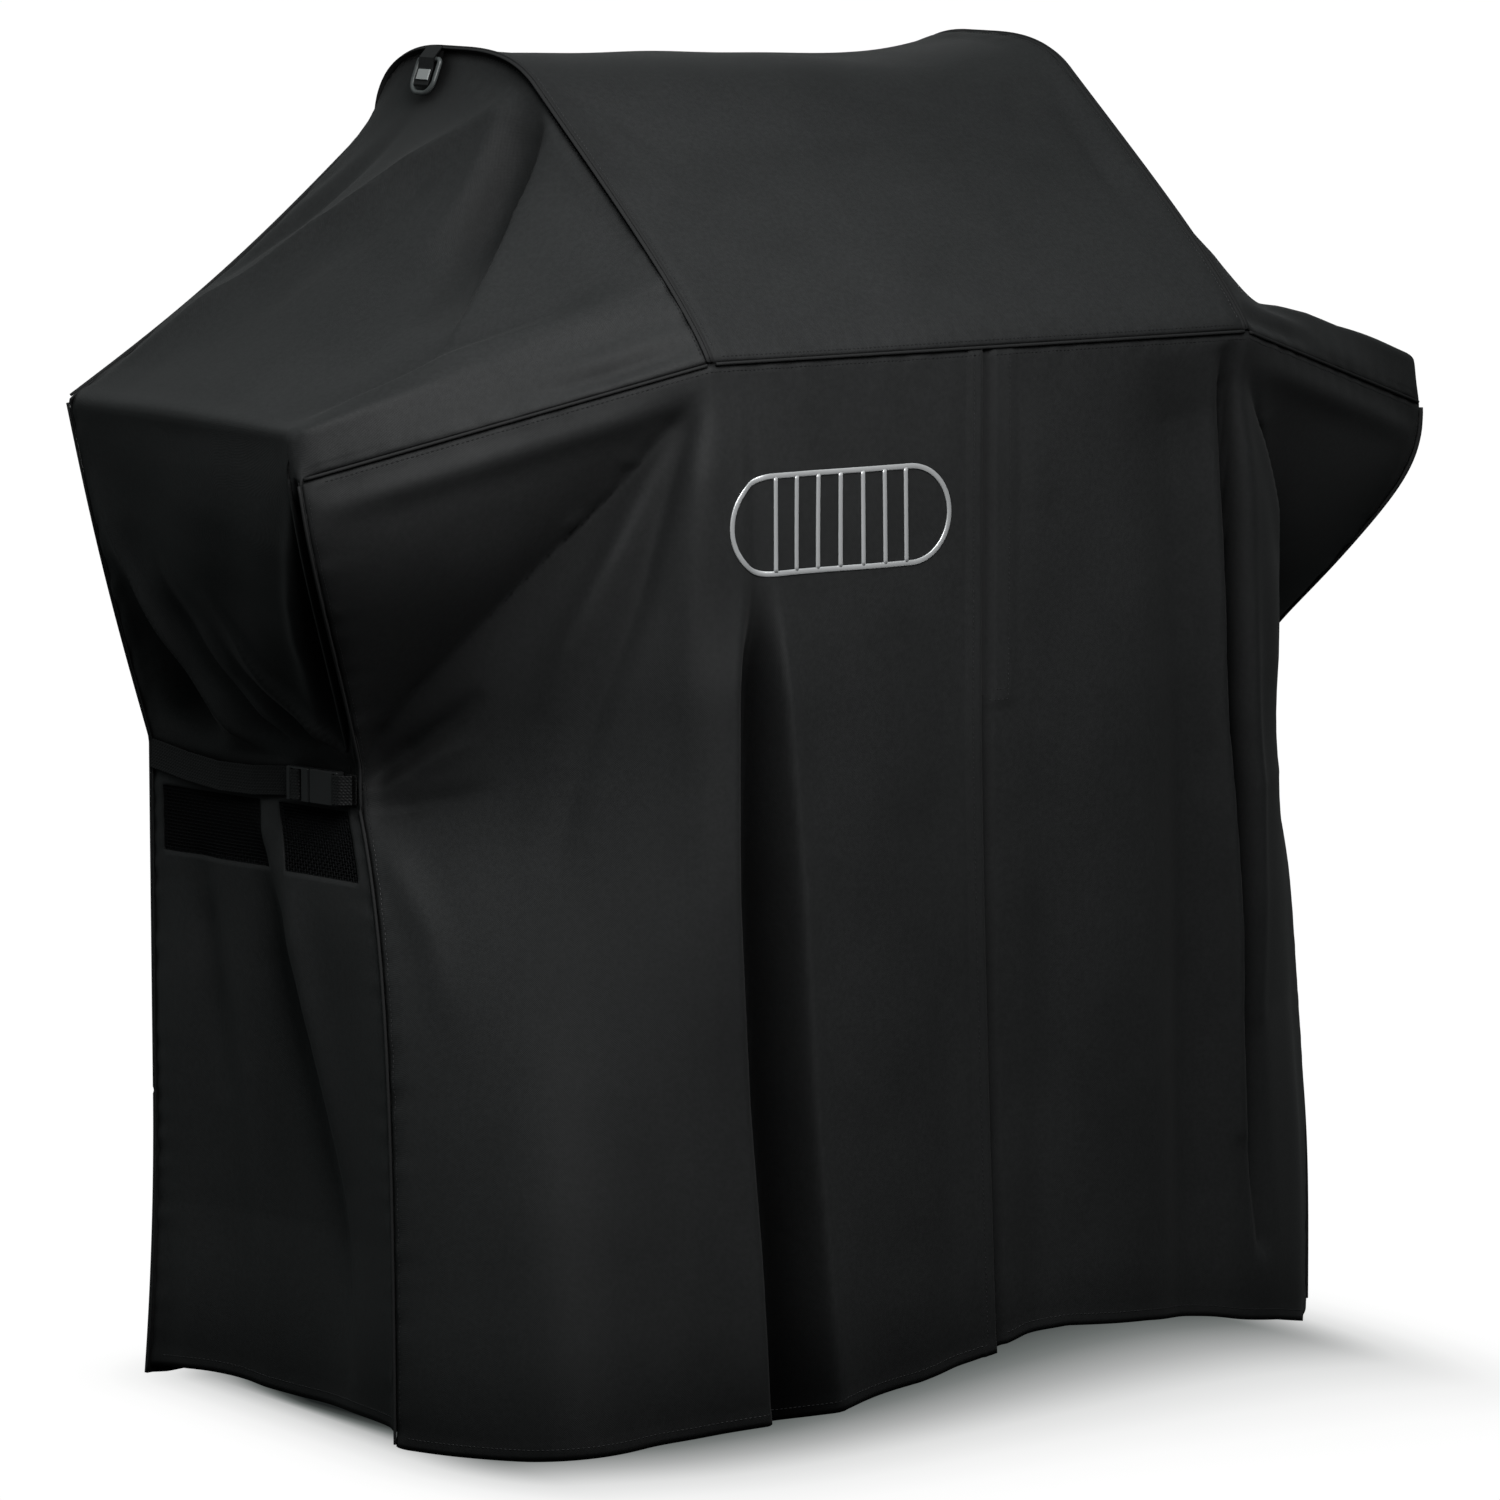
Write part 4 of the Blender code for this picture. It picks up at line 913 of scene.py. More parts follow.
# The deep upright fold of the left front: Z, X of its left edge, X of its right edge.
DEEP_FOLD = np.array([
    (0.0, -0.219, -0.143), (0.161, -0.228, -0.160), (0.287, -0.238, -0.172),
    (0.452, -0.246, -0.182), (0.616, -0.249, -0.199), (0.730, -0.247, -0.218),
    (0.86, -0.248, -0.238), (0.90, -0.250, -0.243),
])
FRONT_CREASES = {
    -1: [
        # Soft folds that fan out from the hood corner.
        ([(-0.292, -0.237, 0.868), (-0.300, -0.235, 0.838), (-0.315, -0.226, 0.782),
          (-0.330, -0.215, 0.701), (-0.349, -0.189, 0.619), (-0.362, -0.165, 0.534),
          (-0.378, -0.160, 0.47)],
         [0, -0.006, -0.009, -0.009, -0.007, -0.004, 0], 0.014, 0.020, 0.3),
        ([(-0.284, -0.240, 0.868), (-0.288, -0.240, 0.80), (-0.292, -0.238, 0.70),
          (-0.296, -0.236, 0.55)], [0, 0.006, 0.006, 0], 0.016, 0.016, 0.3),
        ([(-0.296, -0.236, 0.866), (-0.325, -0.222, 0.798), (-0.352, -0.205, 0.734),
          (-0.382, -0.180, 0.66), (-0.40, -0.15, 0.60)],
         [0, 0.006, 0.008, 0.006, 0], 0.016, 0.014, 0.4),
        # Gathers at the pinch.
        ([(-0.458, -0.008, 0.530), (-0.446, -0.032, 0.545), (-0.434, -0.062, 0.562),
          (-0.415, -0.10, 0.58)], [0.003, 0.006, 0.004, 0], 0.008, 0.008, 0.5),
        ([(-0.457, -0.008, 0.518), (-0.442, -0.035, 0.522), (-0.418, -0.075, 0.531),
          (-0.39, -0.11, 0.54)], [-0.003, -0.006, -0.004, 0], 0.010, 0.010, 0.4),
        ([(-0.458, -0.010, 0.500), (-0.445, -0.04, 0.47), (-0.435, -0.08, 0.42),
          (-0.43, -0.11, 0.34)], [0.002, 0.005, 0.004, 0], 0.016, 0.016, 0.2),
        # Upright waves beside the slit, then near the foot of the wing.
        ([(-0.10, -0.244, 0.80), (-0.105, -0.244, 0.5), (-0.09, -0.244, 0.2),
          (-0.08, -0.244, 0.03)], [0, 0.003, 0.004, 0.004], 0.045, 0.045, 0),
        ([(-0.035, -0.244, 0.55), (-0.03, -0.244, 0.3), (-0.022, -0.244, 0.05)],
         [0, -0.003, -0.004], 0.022, 0.022, 0),
        ([(-0.35, -0.21, 0.30), (-0.345, -0.23, 0.16), (-0.34, -0.24, 0.01)],
         [0, -0.004, -0.006], 0.028, 0.028, 0),
    ],
    1: [
        # Long upright folds below the hood corner.
        ([(0.196, -0.244, 0.875), (0.203, -0.244, 0.819), (0.224, -0.244, 0.581),
          (0.232, -0.244, 0.409), (0.238, -0.244, 0.149), (0.236, -0.244, 0.04)],
         [0, -0.011, -0.021, -0.025, -0.024, -0.018], 0.078, 0.034, 0),
        ([(0.256, -0.244, 0.872), (0.262, -0.244, 0.845), (0.274, -0.244, 0.704),
          (0.283, -0.240, 0.560), (0.300, -0.235, 0.42), (0.318, -0.235, 0.25),
          (0.33, -0.235, 0.10)],
         [-0.006, -0.018, -0.025, -0.025, -0.021, -0.014, -0.007], 0.014, 0.010, 0.3),
        ([(0.245, -0.244, 0.870), (0.250, -0.244, 0.80), (0.262, -0.244, 0.68),
          (0.272, -0.244, 0.52), (0.285, -0.244, 0.38), (0.30, -0.244, 0.2)],
         [0, 0.003, 0.006, 0.007, 0.007, 0.004], 0.014, 0.010, 0.4),
        ([(0.272, -0.244, 0.868), (0.283, -0.240, 0.78), (0.298, -0.236, 0.62),
          (0.312, -0.232, 0.48), (0.33, -0.235, 0.30)],
         [0, 0.005, 0.008, 0.008, 0.004], 0.014, 0.016, 0.3),
        # Upright waves beside the slit.
        ([(0.110, -0.244, 0.84), (0.124, -0.244, 0.588), (0.134, -0.244, 0.332),
          (0.14, -0.244, 0.06)], [0, 0.004, 0.006, 0.006], 0.045, 0.045, 0),
        ([(0.06, -0.244, 0.55), (0.062, -0.244, 0.3), (0.05, -0.244, 0.06)],
         [0, -0.003, -0.005], 0.022, 0.022, 0),
        # Soft fold that fans out from the hood corner.
        ([(0.296, -0.236, 0.866), (0.325, -0.222, 0.798), (0.352, -0.205, 0.734),
          (0.382, -0.180, 0.66)], [0, 0.006, 0.007, 0], 0.014, 0.016, 0.4),
    ],
}
# On both sides, given for the left: a gather at the pinch and a wave near the foot.
SHARED_FRONT_CREASES = [
    ([(-0.457, -0.008, 0.540), (-0.446, -0.041, 0.562), (-0.436, -0.080, 0.589),
      (-0.42, -0.11, 0.62)], [-0.008, -0.010, -0.007, 0], 0.010, 0.012, 0.5),
    ([(-0.40, -0.16, 0.36), (-0.40, -0.19, 0.2), (-0.40, -0.21, 0.02)],
     [0, 0.005, 0.007], 0.035, 0.035, 0),
]
# The cloth stands off a little in a band under the shelf seam; given for the right.
UNDER_SEAM_CREASES = [
    ([(lerp(SHELF_HALF, HOOD_HALF, t), lerp(SHELF_FRONT_Y, FRONT_Y, t),
       lerp(SHELF_SEAM_Z, SEAM_Z, t) - 0.029 + 0.006 * t) for t in (0.03, 0.25, 0.5, 0.75, 0.95)],
     [0.002, 0.006, 0.0065, 0.005, 0.001], 0.013, 0.013, 0.2),
]


def wing_grid(side, wing, down, wing_edge):
    """From the corner seam (wing 0) to the hood corner (wing 1)."""
    top = lerp(SHELF_SEAM_Z, SEAM_Z, wing)
    arc = np.sin(math.pi * wing)
    z = lerp(top, hem_height(side * lerp(HEM_FRONT[0], wing_edge, wing)), down)
    corner_x, corner_y = loose_corner(z, 0.16 * wing**0.6)
    if side < 0:
        bulge = HEM_SWING * arc * np.clip(1 - z / SHELF_SEAM_Z, 0, 1) ** 1.5
    else:
        # On the right the front stays flat past the hood corner before it turns back.
        bulge = np.interp(z, *RIGHT_SWING.T) * np.sin(math.pi * (1 - (1 - wing) ** 0.75))
    x = lerp(corner_x, wing_edge, wing) + bulge * 0.5
    y = lerp(corner_y, FRONT_Y, wing) - bulge
    # The strap pulls the corner in, so a valley runs from there up to the hood corner.
    valley_z = 0.545 + 0.325 * wing + 0.020 * arc * (1 - wing) - 0.012 * arc
    above = np.clip((top - z) / np.maximum(top - valley_z, 1e-4), 0, 1) ** 1.9
    below = (1 - np.clip((valley_z - z) / (0.10 + 0.13 * arc), 0, 1)) ** 2.2
    depth = 0.047 * np.sin(math.pi * wing**0.85) ** 0.85 * np.where(z >= valley_z, above, below)
    return stack(side * (x - depth * 0.55), y + depth * 0.83, z)


def front_grid(side):
    """Columns run from the corner seam over the wing and the flat part to the slit."""
    flat_columns, inner_x = FRONT_LAYOUT[side][:2]
    wing_edge = HOOD_HALF + 0.002
    down = np.linspace(0, 1, 178)[:, None]
    wing = wing_grid(side, np.linspace(0, 1, WING_COLUMNS)[None], down, wing_edge)
    flat_x = lerp(side * wing_edge, inner_x, np.linspace(0, 1, flat_columns + 1)[1:])[None]
    flat = stack(flat_x, FRONT_Y, lerp(SEAM_Z, hem_height(flat_x), down))
    grid = np.concatenate([wing, flat], axis=1)
    from_joint = np.arange(grid.shape[1])[None] - (WING_COLUMNS - 1)
    return blur(grid, 1, 8, bump(from_joint, 6.0) * smooth01(down / 0.05))


def deep_fold(x, z):
    """Heights of a crest that leans over a hollow on its right, and the share across the fold."""
    left, right = (np.interp(z, DEEP_FOLD[:, 0], DEEP_FOLD[:, k]) for k in (1, 2))
    down = np.clip((0.885 - z) / 0.86, 0, 1)
    span = np.maximum(right - left, 1e-3)
    depth = 0.84 * span * smooth01((0.885 - z) / 0.10)
    depth = depth * (0.22 + 0.78 * smooth01((0.722 - z) / 0.10))
    crest, floor_depth = 0.36 * depth, 0.64 * depth
    left, right = left - 0.72 * crest, right - 0.72 * crest
    share = (x - left) / span
    low = 0.52  # share at the bottom of the hollow
    before = crest * np.exp(-np.clip(left - x, 0, 1) / (0.030 + 0.075 * down))
    after = crest * np.exp(-np.clip(x - right, 0, 1) / (0.020 + 0.050 * down))
    fall = smooth01(share / low) * 0.5 + np.clip(share / low, 0, 1) * 0.5
    fall = lerp(crest, -floor_depth, fall)
    rise = lerp(-floor_depth, crest, np.clip((share - low) / (1 - low), 0, 1))
    middle = np.where(share < low, fall, rise)
    fold = np.where(x <= left, before, np.where(x > right, after, middle))
    return averaged(fold, 2, axis=1), share


def build_front(side, word):
    outward = (0, -1, 0)
    grid = front_grid(side)
    x, z = grid[..., 0], grid[..., 2]  # views, so they follow the changes below
    if side < 0:
        x += (slit_line(z) - SLIT_X) * smooth01((x + 0.15) / 0.14)
    normals = oriented_normals(grid, outward)
    seed, pucker_seed = FRONT_LAYOUT[side][2:]
    heights = ripple(grid, seed, height=0.0019, shortest=0.07, longest=0.30, stretch=(1, 1, 0.30))
    heights *= smooth01((SEAM_Z - z) / 0.12)
    if side < 0:
        fold, share = deep_fold(x, z)
        heights += fold
        # The cloth inside the fold hangs a little lower.
        inside = np.clip(1 - np.abs(share - 0.55) / 0.5, 0, 1)
        z -= 0.014 * inside * smooth01((0.22 - z) / 0.2)
    heights += creases(grid, normals, FRONT_CREASES[side])
    heights += creases(grid, normals, SHARED_FRONT_CREASES, -side)
    heights += creases(grid, normals, UNDER_SEAM_CREASES, side)
    # Near the closed seam and the slit the front lies flat, so that the layers stay apart.
    heights *= smooth01((np.abs(x - slit_line(z)) - 0.012) / 0.05)
    cloth = finish_panel(grid, outward, heights, (TOP, FIRST), seed=pucker_seed)
    edges = edge_distance(cloth)
    cloth = hem_fold(cloth, outward, edges[BOTTOM])
    if side < 0:
        # The free edge is turned in, one layer thicker.
        lift = 0.0019 * (1 - smooth01((edges[LAST] - 0.011) / 0.0030))
        lift -= 0.0005 * bump(edges[LAST] - 0.0085, 0.0012)
        cloth = cloth + oriented_normals(cloth, outward) * lift[..., None]
    else:
        # The under layer passes behind the upper one; the placket above the slit stands proud.
        under = smooth01((slit_line(z) + 0.012 - cloth[..., 0]) / 0.006)
        step = 0.0016 * (1 - smooth01((cloth[..., 0] - 0.0255) / 0.0014))
        step *= smooth01((z - (SLIT_TOP_Z - 0.004)) / 0.003)
        cloth[..., 1] += 0.0034 * under - step * (1 - under)
    name = f"front_{word}"
    add_panel(name, cloth, outward, f"{name}_panel", f"{name}_flap", flap=side)


# ---- rear -----------------------------------------------------------------------------------
# Given for the right, and mirrored to the left.
REAR_CREASES = [
    ([(0.30, 0.25, 1.03), (0.36, 0.25, 0.86), (0.44, 0.25, 0.66), (0.492, 0.25, 0.55)],
     [0, -0.005, -0.009, -0.004], 0.026, 0.026, 0.2),
    ([(0.40, 0.25, 0.93), (0.46, 0.25, 0.76), (0.50, 0.25, 0.57)],
     [0, -0.005, -0.006], 0.018, 0.018, 0.3),
    ([(0.24, 0.25, 1.0), (0.25, 0.25, 0.6), (0.26, 0.25, 0.1)],
     [0, -0.006, -0.006], 0.035, 0.035, 0),
]


def build_rear():
    outward = (0, 1, 0)
    hood_share = HOOD_HALF / SHELF_HALF
    across = spaced((-1, -hood_share, hood_share, 1), (54, 90, 54))[None]
    upper_rows, lower_rows = 84, 85
    upper = np.arange(upper_rows)[:, None] / upper_rows
    lower = np.arange(lower_rows + 1)[:, None] / lower_rows
    foot = 0.004 + 0.004 * np.sin(6 * across + 0.5) ** 2
    top = roof_line(across * SHELF_HALF)
    z = np.concatenate([lerp(top, CINCH_TOP, upper), lerp(CINCH_TOP, foot, lower)])
    grid = stack(across * rear_corner(z), REAR_Y, z)
    normals = oriented_normals(grid, outward)
    heights = ripple(grid, 51, height=0.0016, shortest=0.10, longest=0.34, stretch=(1, 1, 0.35))
    flutes = 0.5 - 0.5 * np.cos(grid[..., 0] * 2 * math.pi / 0.31 + 0.8)
    heights -= 0.012 * smooth01((0.62 - z) / 0.5) * flutes
    for side, _ in SIDES:
        heights += creases(grid, normals, REAR_CREASES, side)
    heights = np.minimum(heights, 0.004)
    cloth = finish_panel(grid, outward, heights, (TOP, FIRST, LAST), seed=17)
    cloth = hem_fold(cloth, outward, edge_distance(cloth)[BOTTOM])
    add_panel("rear", cloth, outward, "rear_panel")


build_hood()
for side, word in SIDES:
    build_end(side, word)
    build_skirt(side, word)
    build_front(side, word)
build_rear()


# ---- bound seams and their stitching --------------------------------------------------------
def line_inside(key, border, distance, start=0.02, end=0.98):
    """A line on a panel at an even distance from a border: its points and their normals.
    start and end are shares of its point count."""
    grid, outward = PANELS[key]
    normals = oriented_normals(grid, outward)
    edge = edge_distance(grid)[border]
    if border in (TOP, BOTTOM):
        grid, normals, edge = (np.swapaxes(values, 0, 1) for values in (grid, normals, edge))
    inwards = 1 if border in (TOP, FIRST) else -1
    line = []
    for points, point_normals, gaps in zip(grid, normals, edge):
        i = int(np.argmin(np.abs(gaps - distance)))
        step = inwards if gaps[i] < distance else -inwards
        k = min(max(i + step, 0), len(gaps) - 1)
        t = 0.0 if gaps[k] == gaps[i] else (distance - gaps[i]) / (gaps[k] - gaps[i])
        line.append((lerp(points[i], points[k], t), point_normals[i]))
    return tuple(zip(*line[int(len(line) * start) : int(len(line) * end)]))


def cord(name, path, radius=0.00135):
    """A round cord along a seam."""
    mesh = rings_mesh(tube_rings(along(path, 0.006), radius))
    fit(add_object(f"{name}_cord", *mesh, "binding"), "seam_binding", f"{name}_binding")


def build_arch_binding(side, word):
    _, y, z = arch_at(np.linspace(0.004, 0.998, 140))
    arch = stack(side * HOOD_HALF, y, z)
    cord(f"{word}_arch", arch, 0.0011)
    # The turned-in seam allowance lies as a flat tape under the cord and closes the seam.
    tape = along(arch, 0.006)
    inward = unit(np.cross(np.gradient(tape, axis=0), (1.0, 0, 0)))
    middle = np.array((0.0, 0.02, 0.9))
    inward *= np.sign(np.sum(inward * (middle - tape), axis=1, keepdims=True))
    rings = tube_rings(tape + inward * 0.0013, 0.0012, sides=12, up=(1, 0, 0), flat=3.4)
    fit(add_object(f"{word}_arch_tape", *rings_mesh(rings), "binding"), "seam_binding")


def build_side_bindings(side, word):
    build_arch_binding(side, word)
    t = np.linspace(0.012, 0.985, 60)
    shelf = (
        lerp(side * HOOD_HALF, side * SHELF_HALF, t),
        lerp(FRONT_Y, SHELF_FRONT_Y, t),
        lerp(SEAM_Z, SHELF_SEAM_Z, t),
    )
    cord(f"{word}_shelf", stack(*shelf))
    z = np.linspace(SHELF_SEAM_Z - 0.004, 0.004, 160)
    x, y = front_corner(z)
    cord(f"{word}_front_corner", stack(side * x, y, z), 0.00135 if side < 0 else 0.0020)
    z = np.linspace(SHELF_Z - 0.004, 0.006, 160)
    cord(f"{word}_rear_corner", stack(side * rear_corner(z), REAR_Y, z))
    x = np.linspace(HOOD_HALF + 0.004, SHELF_HALF - 0.004, 60)
    cord(f"{word}_roof", stack(side * x, REAR_Y, roof_line(x)))


def build_body_stitching():
    lines = []
    for side, word in SIDES:
        lines += [
            line_inside(f"{word}_end", TOP, SEAM_STITCH),
            line_inside(f"{word}_skirt", BOTTOM, HEM_STITCH, 0.03, 0.97),
            line_inside("hood", FIRST if side < 0 else LAST, SEAM_STITCH),
        ]
    lines += [
        line_inside("hood", TOP, SEAM_STITCH),
        line_inside("rear", TOP, SEAM_STITCH),
        line_inside("rear", BOTTOM, HEM_STITCH),
    ]
    add_stitching("body_stitching", lines)


def build_front_stitching(side, word):
    key = f"front_{word}"
    across = [
        line_inside(key, TOP, SEAM_STITCH, 0.03, 1.0),
        line_inside(key, BOTTOM, HEM_STITCH, 0.02, 0.985),
    ]
    if side > 0:
        # Stitching stops where the upper layer covers the cloth.
        for k, line in enumerate(across):
            shown = [(p, n) for p, n in zip(*line) if p[0] > slit_line(p[2]) + 0.0095]
            across[k] = tuple(zip(*shown))
    lines = across + [line_inside(key, FIRST, SEAM_STITCH)]
    if side < 0:
        lines.append(line_inside(key, LAST, 0.0085, 0.02, 0.985))
    add_stitching(f"{key}_stitching", lines, flap=side)


for side, word in SIDES:
    build_side_bindings(side, word)
seam_x = np.linspace(0.004 - HOOD_HALF, HOOD_HALF - 0.004, 60)
cord("front_seam", stack(seam_x, FRONT_Y, SEAM_Z))
cord("rear_seam", stack(seam_x, REAR_Y, REAR_SHOULDER_Z))
build_body_stitching()
for side, word in SIDES:
    build_front_stitching(side, word)


def surface_tree(grid):
    rows, cols = grid.shape[:2]
    index = np.arange(rows * cols).reshape(rows, cols)
    corners = (index[:-1, :-1], index[:-1, 1:], index[1:, 1:], index[1:, :-1])
    faces = np.stack(corners, axis=2).reshape(-1, 4)
    return BVHTree.FromPolygons(grid.reshape(-1, 3).tolist(), faces.tolist())


FRONT_TREE = {word: surface_tree(PANELS[f"front_{word}"][0]) for _, word in SIDES}


def on_front(x, z):
    """Point and normal on the front cloth at (x, z)."""
    tree = FRONT_TREE["left" if x < SLIT_X else "right"]
    hit, normal, _, _ = tree.ray_cast(Vector((x, -0.6, z)), Vector((0, 1, 0)))
    if hit is None:
        return np.array((x, FRONT_Y, z)), np.array((0.0, -1.0, 0.0))
    normal = np.array(normal)
    return np.array(hit), (normal if normal[1] < 0 else -normal)


def build_placket_stitching():
    """An upright row with a foot above the slit, and a second short row above the foot."""
    edge_x, end_x, foot_z, second_z = 0.0225, 0.002, 0.597, 0.606
    upright = [(edge_x, z) for z in np.linspace(0.884, foot_z, 90)]
    foot = [(x, foot_z) for x in np.linspace(edge_x, end_x, 12)]
    second = [(x, second_z) for x in np.linspace(edge_x - 0.001, end_x, 12)]
    lines = [tuple(zip(*(on_front(x, z) for x, z in row))) for row in (upright + foot, second)]
    add_stitching("placket_stitching", lines)


build_placket_stitching()

# ---- badge: a rounded ring crossed by seven bars --------------------------------------------
BADGE_X, BADGE_Z = -0.150, 0.757
BADGE_WIDTH, BADGE_HEIGHT = 0.226, 0.084
BADGE_RIM, BADGE_BAR, BADGE_PITCH, BADGE_RELIEF = 0.0045, 0.0040, 0.022, 0.0009
# Cross-section of a strip: shares of its width and its relief.
STRIP_PROFILE = [(-0.5, 0.55), (-0.36, 0.9), (0, 1), (0.36, 0.9), (0.5, 0.55)]


def badge_strip(points, width):
    """Rings of a raised, rounded strip that follows the cloth through badge points (x, z)."""
    found = [on_front(BADGE_X + x, BADGE_Z + z) for x, z in points]
    path, normals = (np.array(values) for values in zip(*found))
    normals = unit(normals)
    side = unit(np.cross(unit(np.gradient(path, axis=0)), normals))
    profile = [(a, b * BADGE_RELIEF) for a, b in STRIP_PROFILE]
    profile = [(-0.5, -0.0003), *profile, (0.5, -0.0003)]
    return [
        np.array([p + s * a * width + n * b for a, b in profile])
        for p, s, n in zip(path, side, normals)
    ]


def stadium(width, height, count):
    """A closed outline: two half circles joined by straight sides."""
    radius = height / 2
    straight = width / 2 - radius
    angles = 2 * math.pi * (np.arange(count) + 0.5) / count
    x = np.where(np.cos(angles) > 0, straight, -straight) + radius * np.cos(angles)
    points = np.column_stack([x, radius * np.sin(angles)])
    return np.concatenate([points, points[:1]])


def build_badge():
    outline = stadium(BADGE_WIDTH - BADGE_RIM, BADGE_HEIGHT - BADGE_RIM, 96)
    pieces = [rings_mesh(badge_strip(along(outline, 0.003)[:-1], BADGE_RIM), cyclic=True)]
    reach = BADGE_HEIGHT / 2 - 0.0032
    for k in range(-3, 4):
        bar = [(BADGE_PITCH * k, z) for z in np.linspace(-reach, reach, 26)]
        pieces.append(rings_mesh(badge_strip(bar, BADGE_BAR)))
    badge = add_object("front_badge_print", *joined(pieces), "silver")
    face_outwards(badge)
    fit(badge, "badge_silver", "front_badge")


build_badge()

# ---- straps and buckles ---------------------------------------------------------------------
WEBBING_WIDTH, WEBBING_THICK, WEBBING_RIBS = 0.025, 0.0011, 5
STRAP_TOP = 0.0022 + 0.0090 + 0.0014  # where the webbing passes over a buckle's bar


def dress_node(name, material):
    """Gives a piece of the frame its material."""
    obj = frame["nodes"][name]
    obj.data.materials.clear()
    obj.data.materials.append(MAT[material])
    return obj


def round_path(path):
    return along(averaged(along(path, 0.0008), 3), 0.0008)


def webbing(name, path, face):
    """Upright webbing along a path; face points out of its outer side at the first point."""
    tangent = unit(np.gradient(path, axis=0))
    across = np.array((0.0, 0.0, 1.0)) - tangent * tangent[:, 2:]
    across = unit(across)
    normal = np.cross(tangent, across)
    if np.dot(normal[0], face) < 0:
        normal = -normal
    count = 41
    c = np.linspace(-1, 1, count)
    outer = np.abs(c)
    rib = 0.00014 * np.cos(c * math.pi * WEBBING_RIBS * 2) * (outer < 0.86)
    rib = rib + 0.0002 * smooth01((outer - 0.84) / 0.06)
    rounding = 1 - ((outer - 0.955) / 0.05) ** 2 * (outer > 0.955)
    half = (WEBBING_THICK / 2 + rib) * np.sqrt(np.clip(rounding, 0.02, 1))
    width = (c * WEBBING_WIDTH / 2)[:, None]
    u = (c + 1) * WEBBING_WIDTH / 2
    u = np.concatenate([u, u[::-1]])
    rings, uv = [], []
    for p, w, n, run in zip(path, across, normal, distances(path)):
        phase = 2.4 * np.arange(count) % 2
        twill = 0.00007 * np.sin(run * 2 * math.pi / 0.0032 + phase)
        top = p + w * width + n * (half + twill)[:, None]
        low = p + w * width[::-1] - n * half[::-1, None]
        rings.append(np.concatenate([top, low]))
        uv.append(np.column_stack([u, np.full_like(u, run)]))
    strap = add_object(name, *rings_mesh(rings), "webbing", uv=np.concatenate(uv))
    face_outwards(strap)
    return strap


def build_buckle(word):
    for part in ("buckle_socket", "buckle_plug", "upper_prong", "lower_prong"):
        obj = dress_node(f"{word}_{part}", "plastic")
        soft = obj.modifiers.new("soft_edges", "BEVEL")
        soft.width = 0.0006
        soft.segments = 3
        soft.limit_method = "ANGLE"
        soft.angle_limit = math.radians(40)


def build_straps(side, word):
    """A long strap from the rear corner through the plug, a short one at the front corner."""
    origin = np.array((side * CINCH_FRONT[0], CINCH_FRONT[1], CINCH_Z))
    rear = np.array((side * REAR_HALF, REAR_Y, CINCH_Z))
    length = np.linalg.norm(rear - origin)
    run = (rear - origin) / length
    outward = np.array((side * run[1], -side * run[0], 0.0))

    def place(points):
        return round_path([origin + run * a + outward * b + (0, 0, c) for a, b, c in points])

    # Distance along the wall from the front corner, distance out of it, height.
    long_path = place([
        (length - 0.004, 0.0018, 0.007), (length - 0.02, 0.0026, 0.005), (0.205, 0.0046, 0.0005),
        (0.165, 0.0062, -0.0032), (0.125, 0.0050, -0.0030), (0.100, 0.0026, -0.0010),
        (0.0840, 0.0012, 0), (0.0709, 0.0012, 0), (0.0709, STRAP_TOP, 0),
        (0.0609, STRAP_TOP, 0), (0.0609, 0.0011, 0),
    ])
    short_path = place([
        (0.0035, 0.0012, 0), (0.0206, 0.0012, 0), (0.0206, STRAP_TOP, 0),
        (0.0120, STRAP_TOP, 0), (0.0045, 0.0048, 0),
    ])
    strap = webbing(f"{word}_long_webbing", long_path, outward)
    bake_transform(strap)
    fit(strap, "webbing", f"{word}_long_strap", carrier=None)
    strap = webbing(f"{word}_short_webbing", short_path, -outward)
    fit(strap, "webbing", f"{word}_short_strap")


# Corners of the hanging ring: Y, distance down, radius, start angle in degrees.
RING_CORNERS = [
    (0.0159, 0.0, 0.0035, 270), (0.0159, 0.0300, 0.0120, 0),
    (-0.0159, 0.0300, 0.0120, 90), (-0.0159, 0.0, 0.0035, 180),
]
RING_ROD_RADIUS = 0.0021


def build_hang_ring(word, bar, down, face):
    """One round rod bent into a loop with rounded corners, its top bar on the hinge."""
    loop = []
    for corner_y, corner_down, radius, start in RING_CORNERS:
        middle_y = corner_y - math.copysign(radius, corner_y)
        middle_down = corner_down + (-radius if corner_down > 0 else radius)
        for angle in np.radians(np.linspace(start, start + 90, 13)):
            turn_y, turn_down = radius * math.cos(angle), radius * math.sin(angle)
            loop.append((middle_y + turn_y, middle_down + turn_down))
    loop = along(loop + loop[:1], 0.0009)[:-1]
    course = unit(np.roll(loop, -1, axis=0) - np.roll(loop, 1, axis=0))
    angles = np.linspace(0, 2 * math.pi, 16, endpoint=False)[:, None]
    hoop = []
    for (y, fall), (run_y, run_down) in zip(loop, course):
        middle = bar + down * fall + np.array((0.0, y, 0.0))
        across = np.array((0.0, run_down, 0.0)) - down * run_y
        hoop.append(middle + RING_ROD_RADIUS * (np.cos(angles) * across + np.sin(angles) * face))
    ring = add_object(f"{word}_hang_ring", *rings_mesh(hoop, cyclic=True), "ring")
    face_outwards(ring)
    fit(ring, "buckle_plastic", f"{word}_hang_loop", carrier=f"{word}_loop")


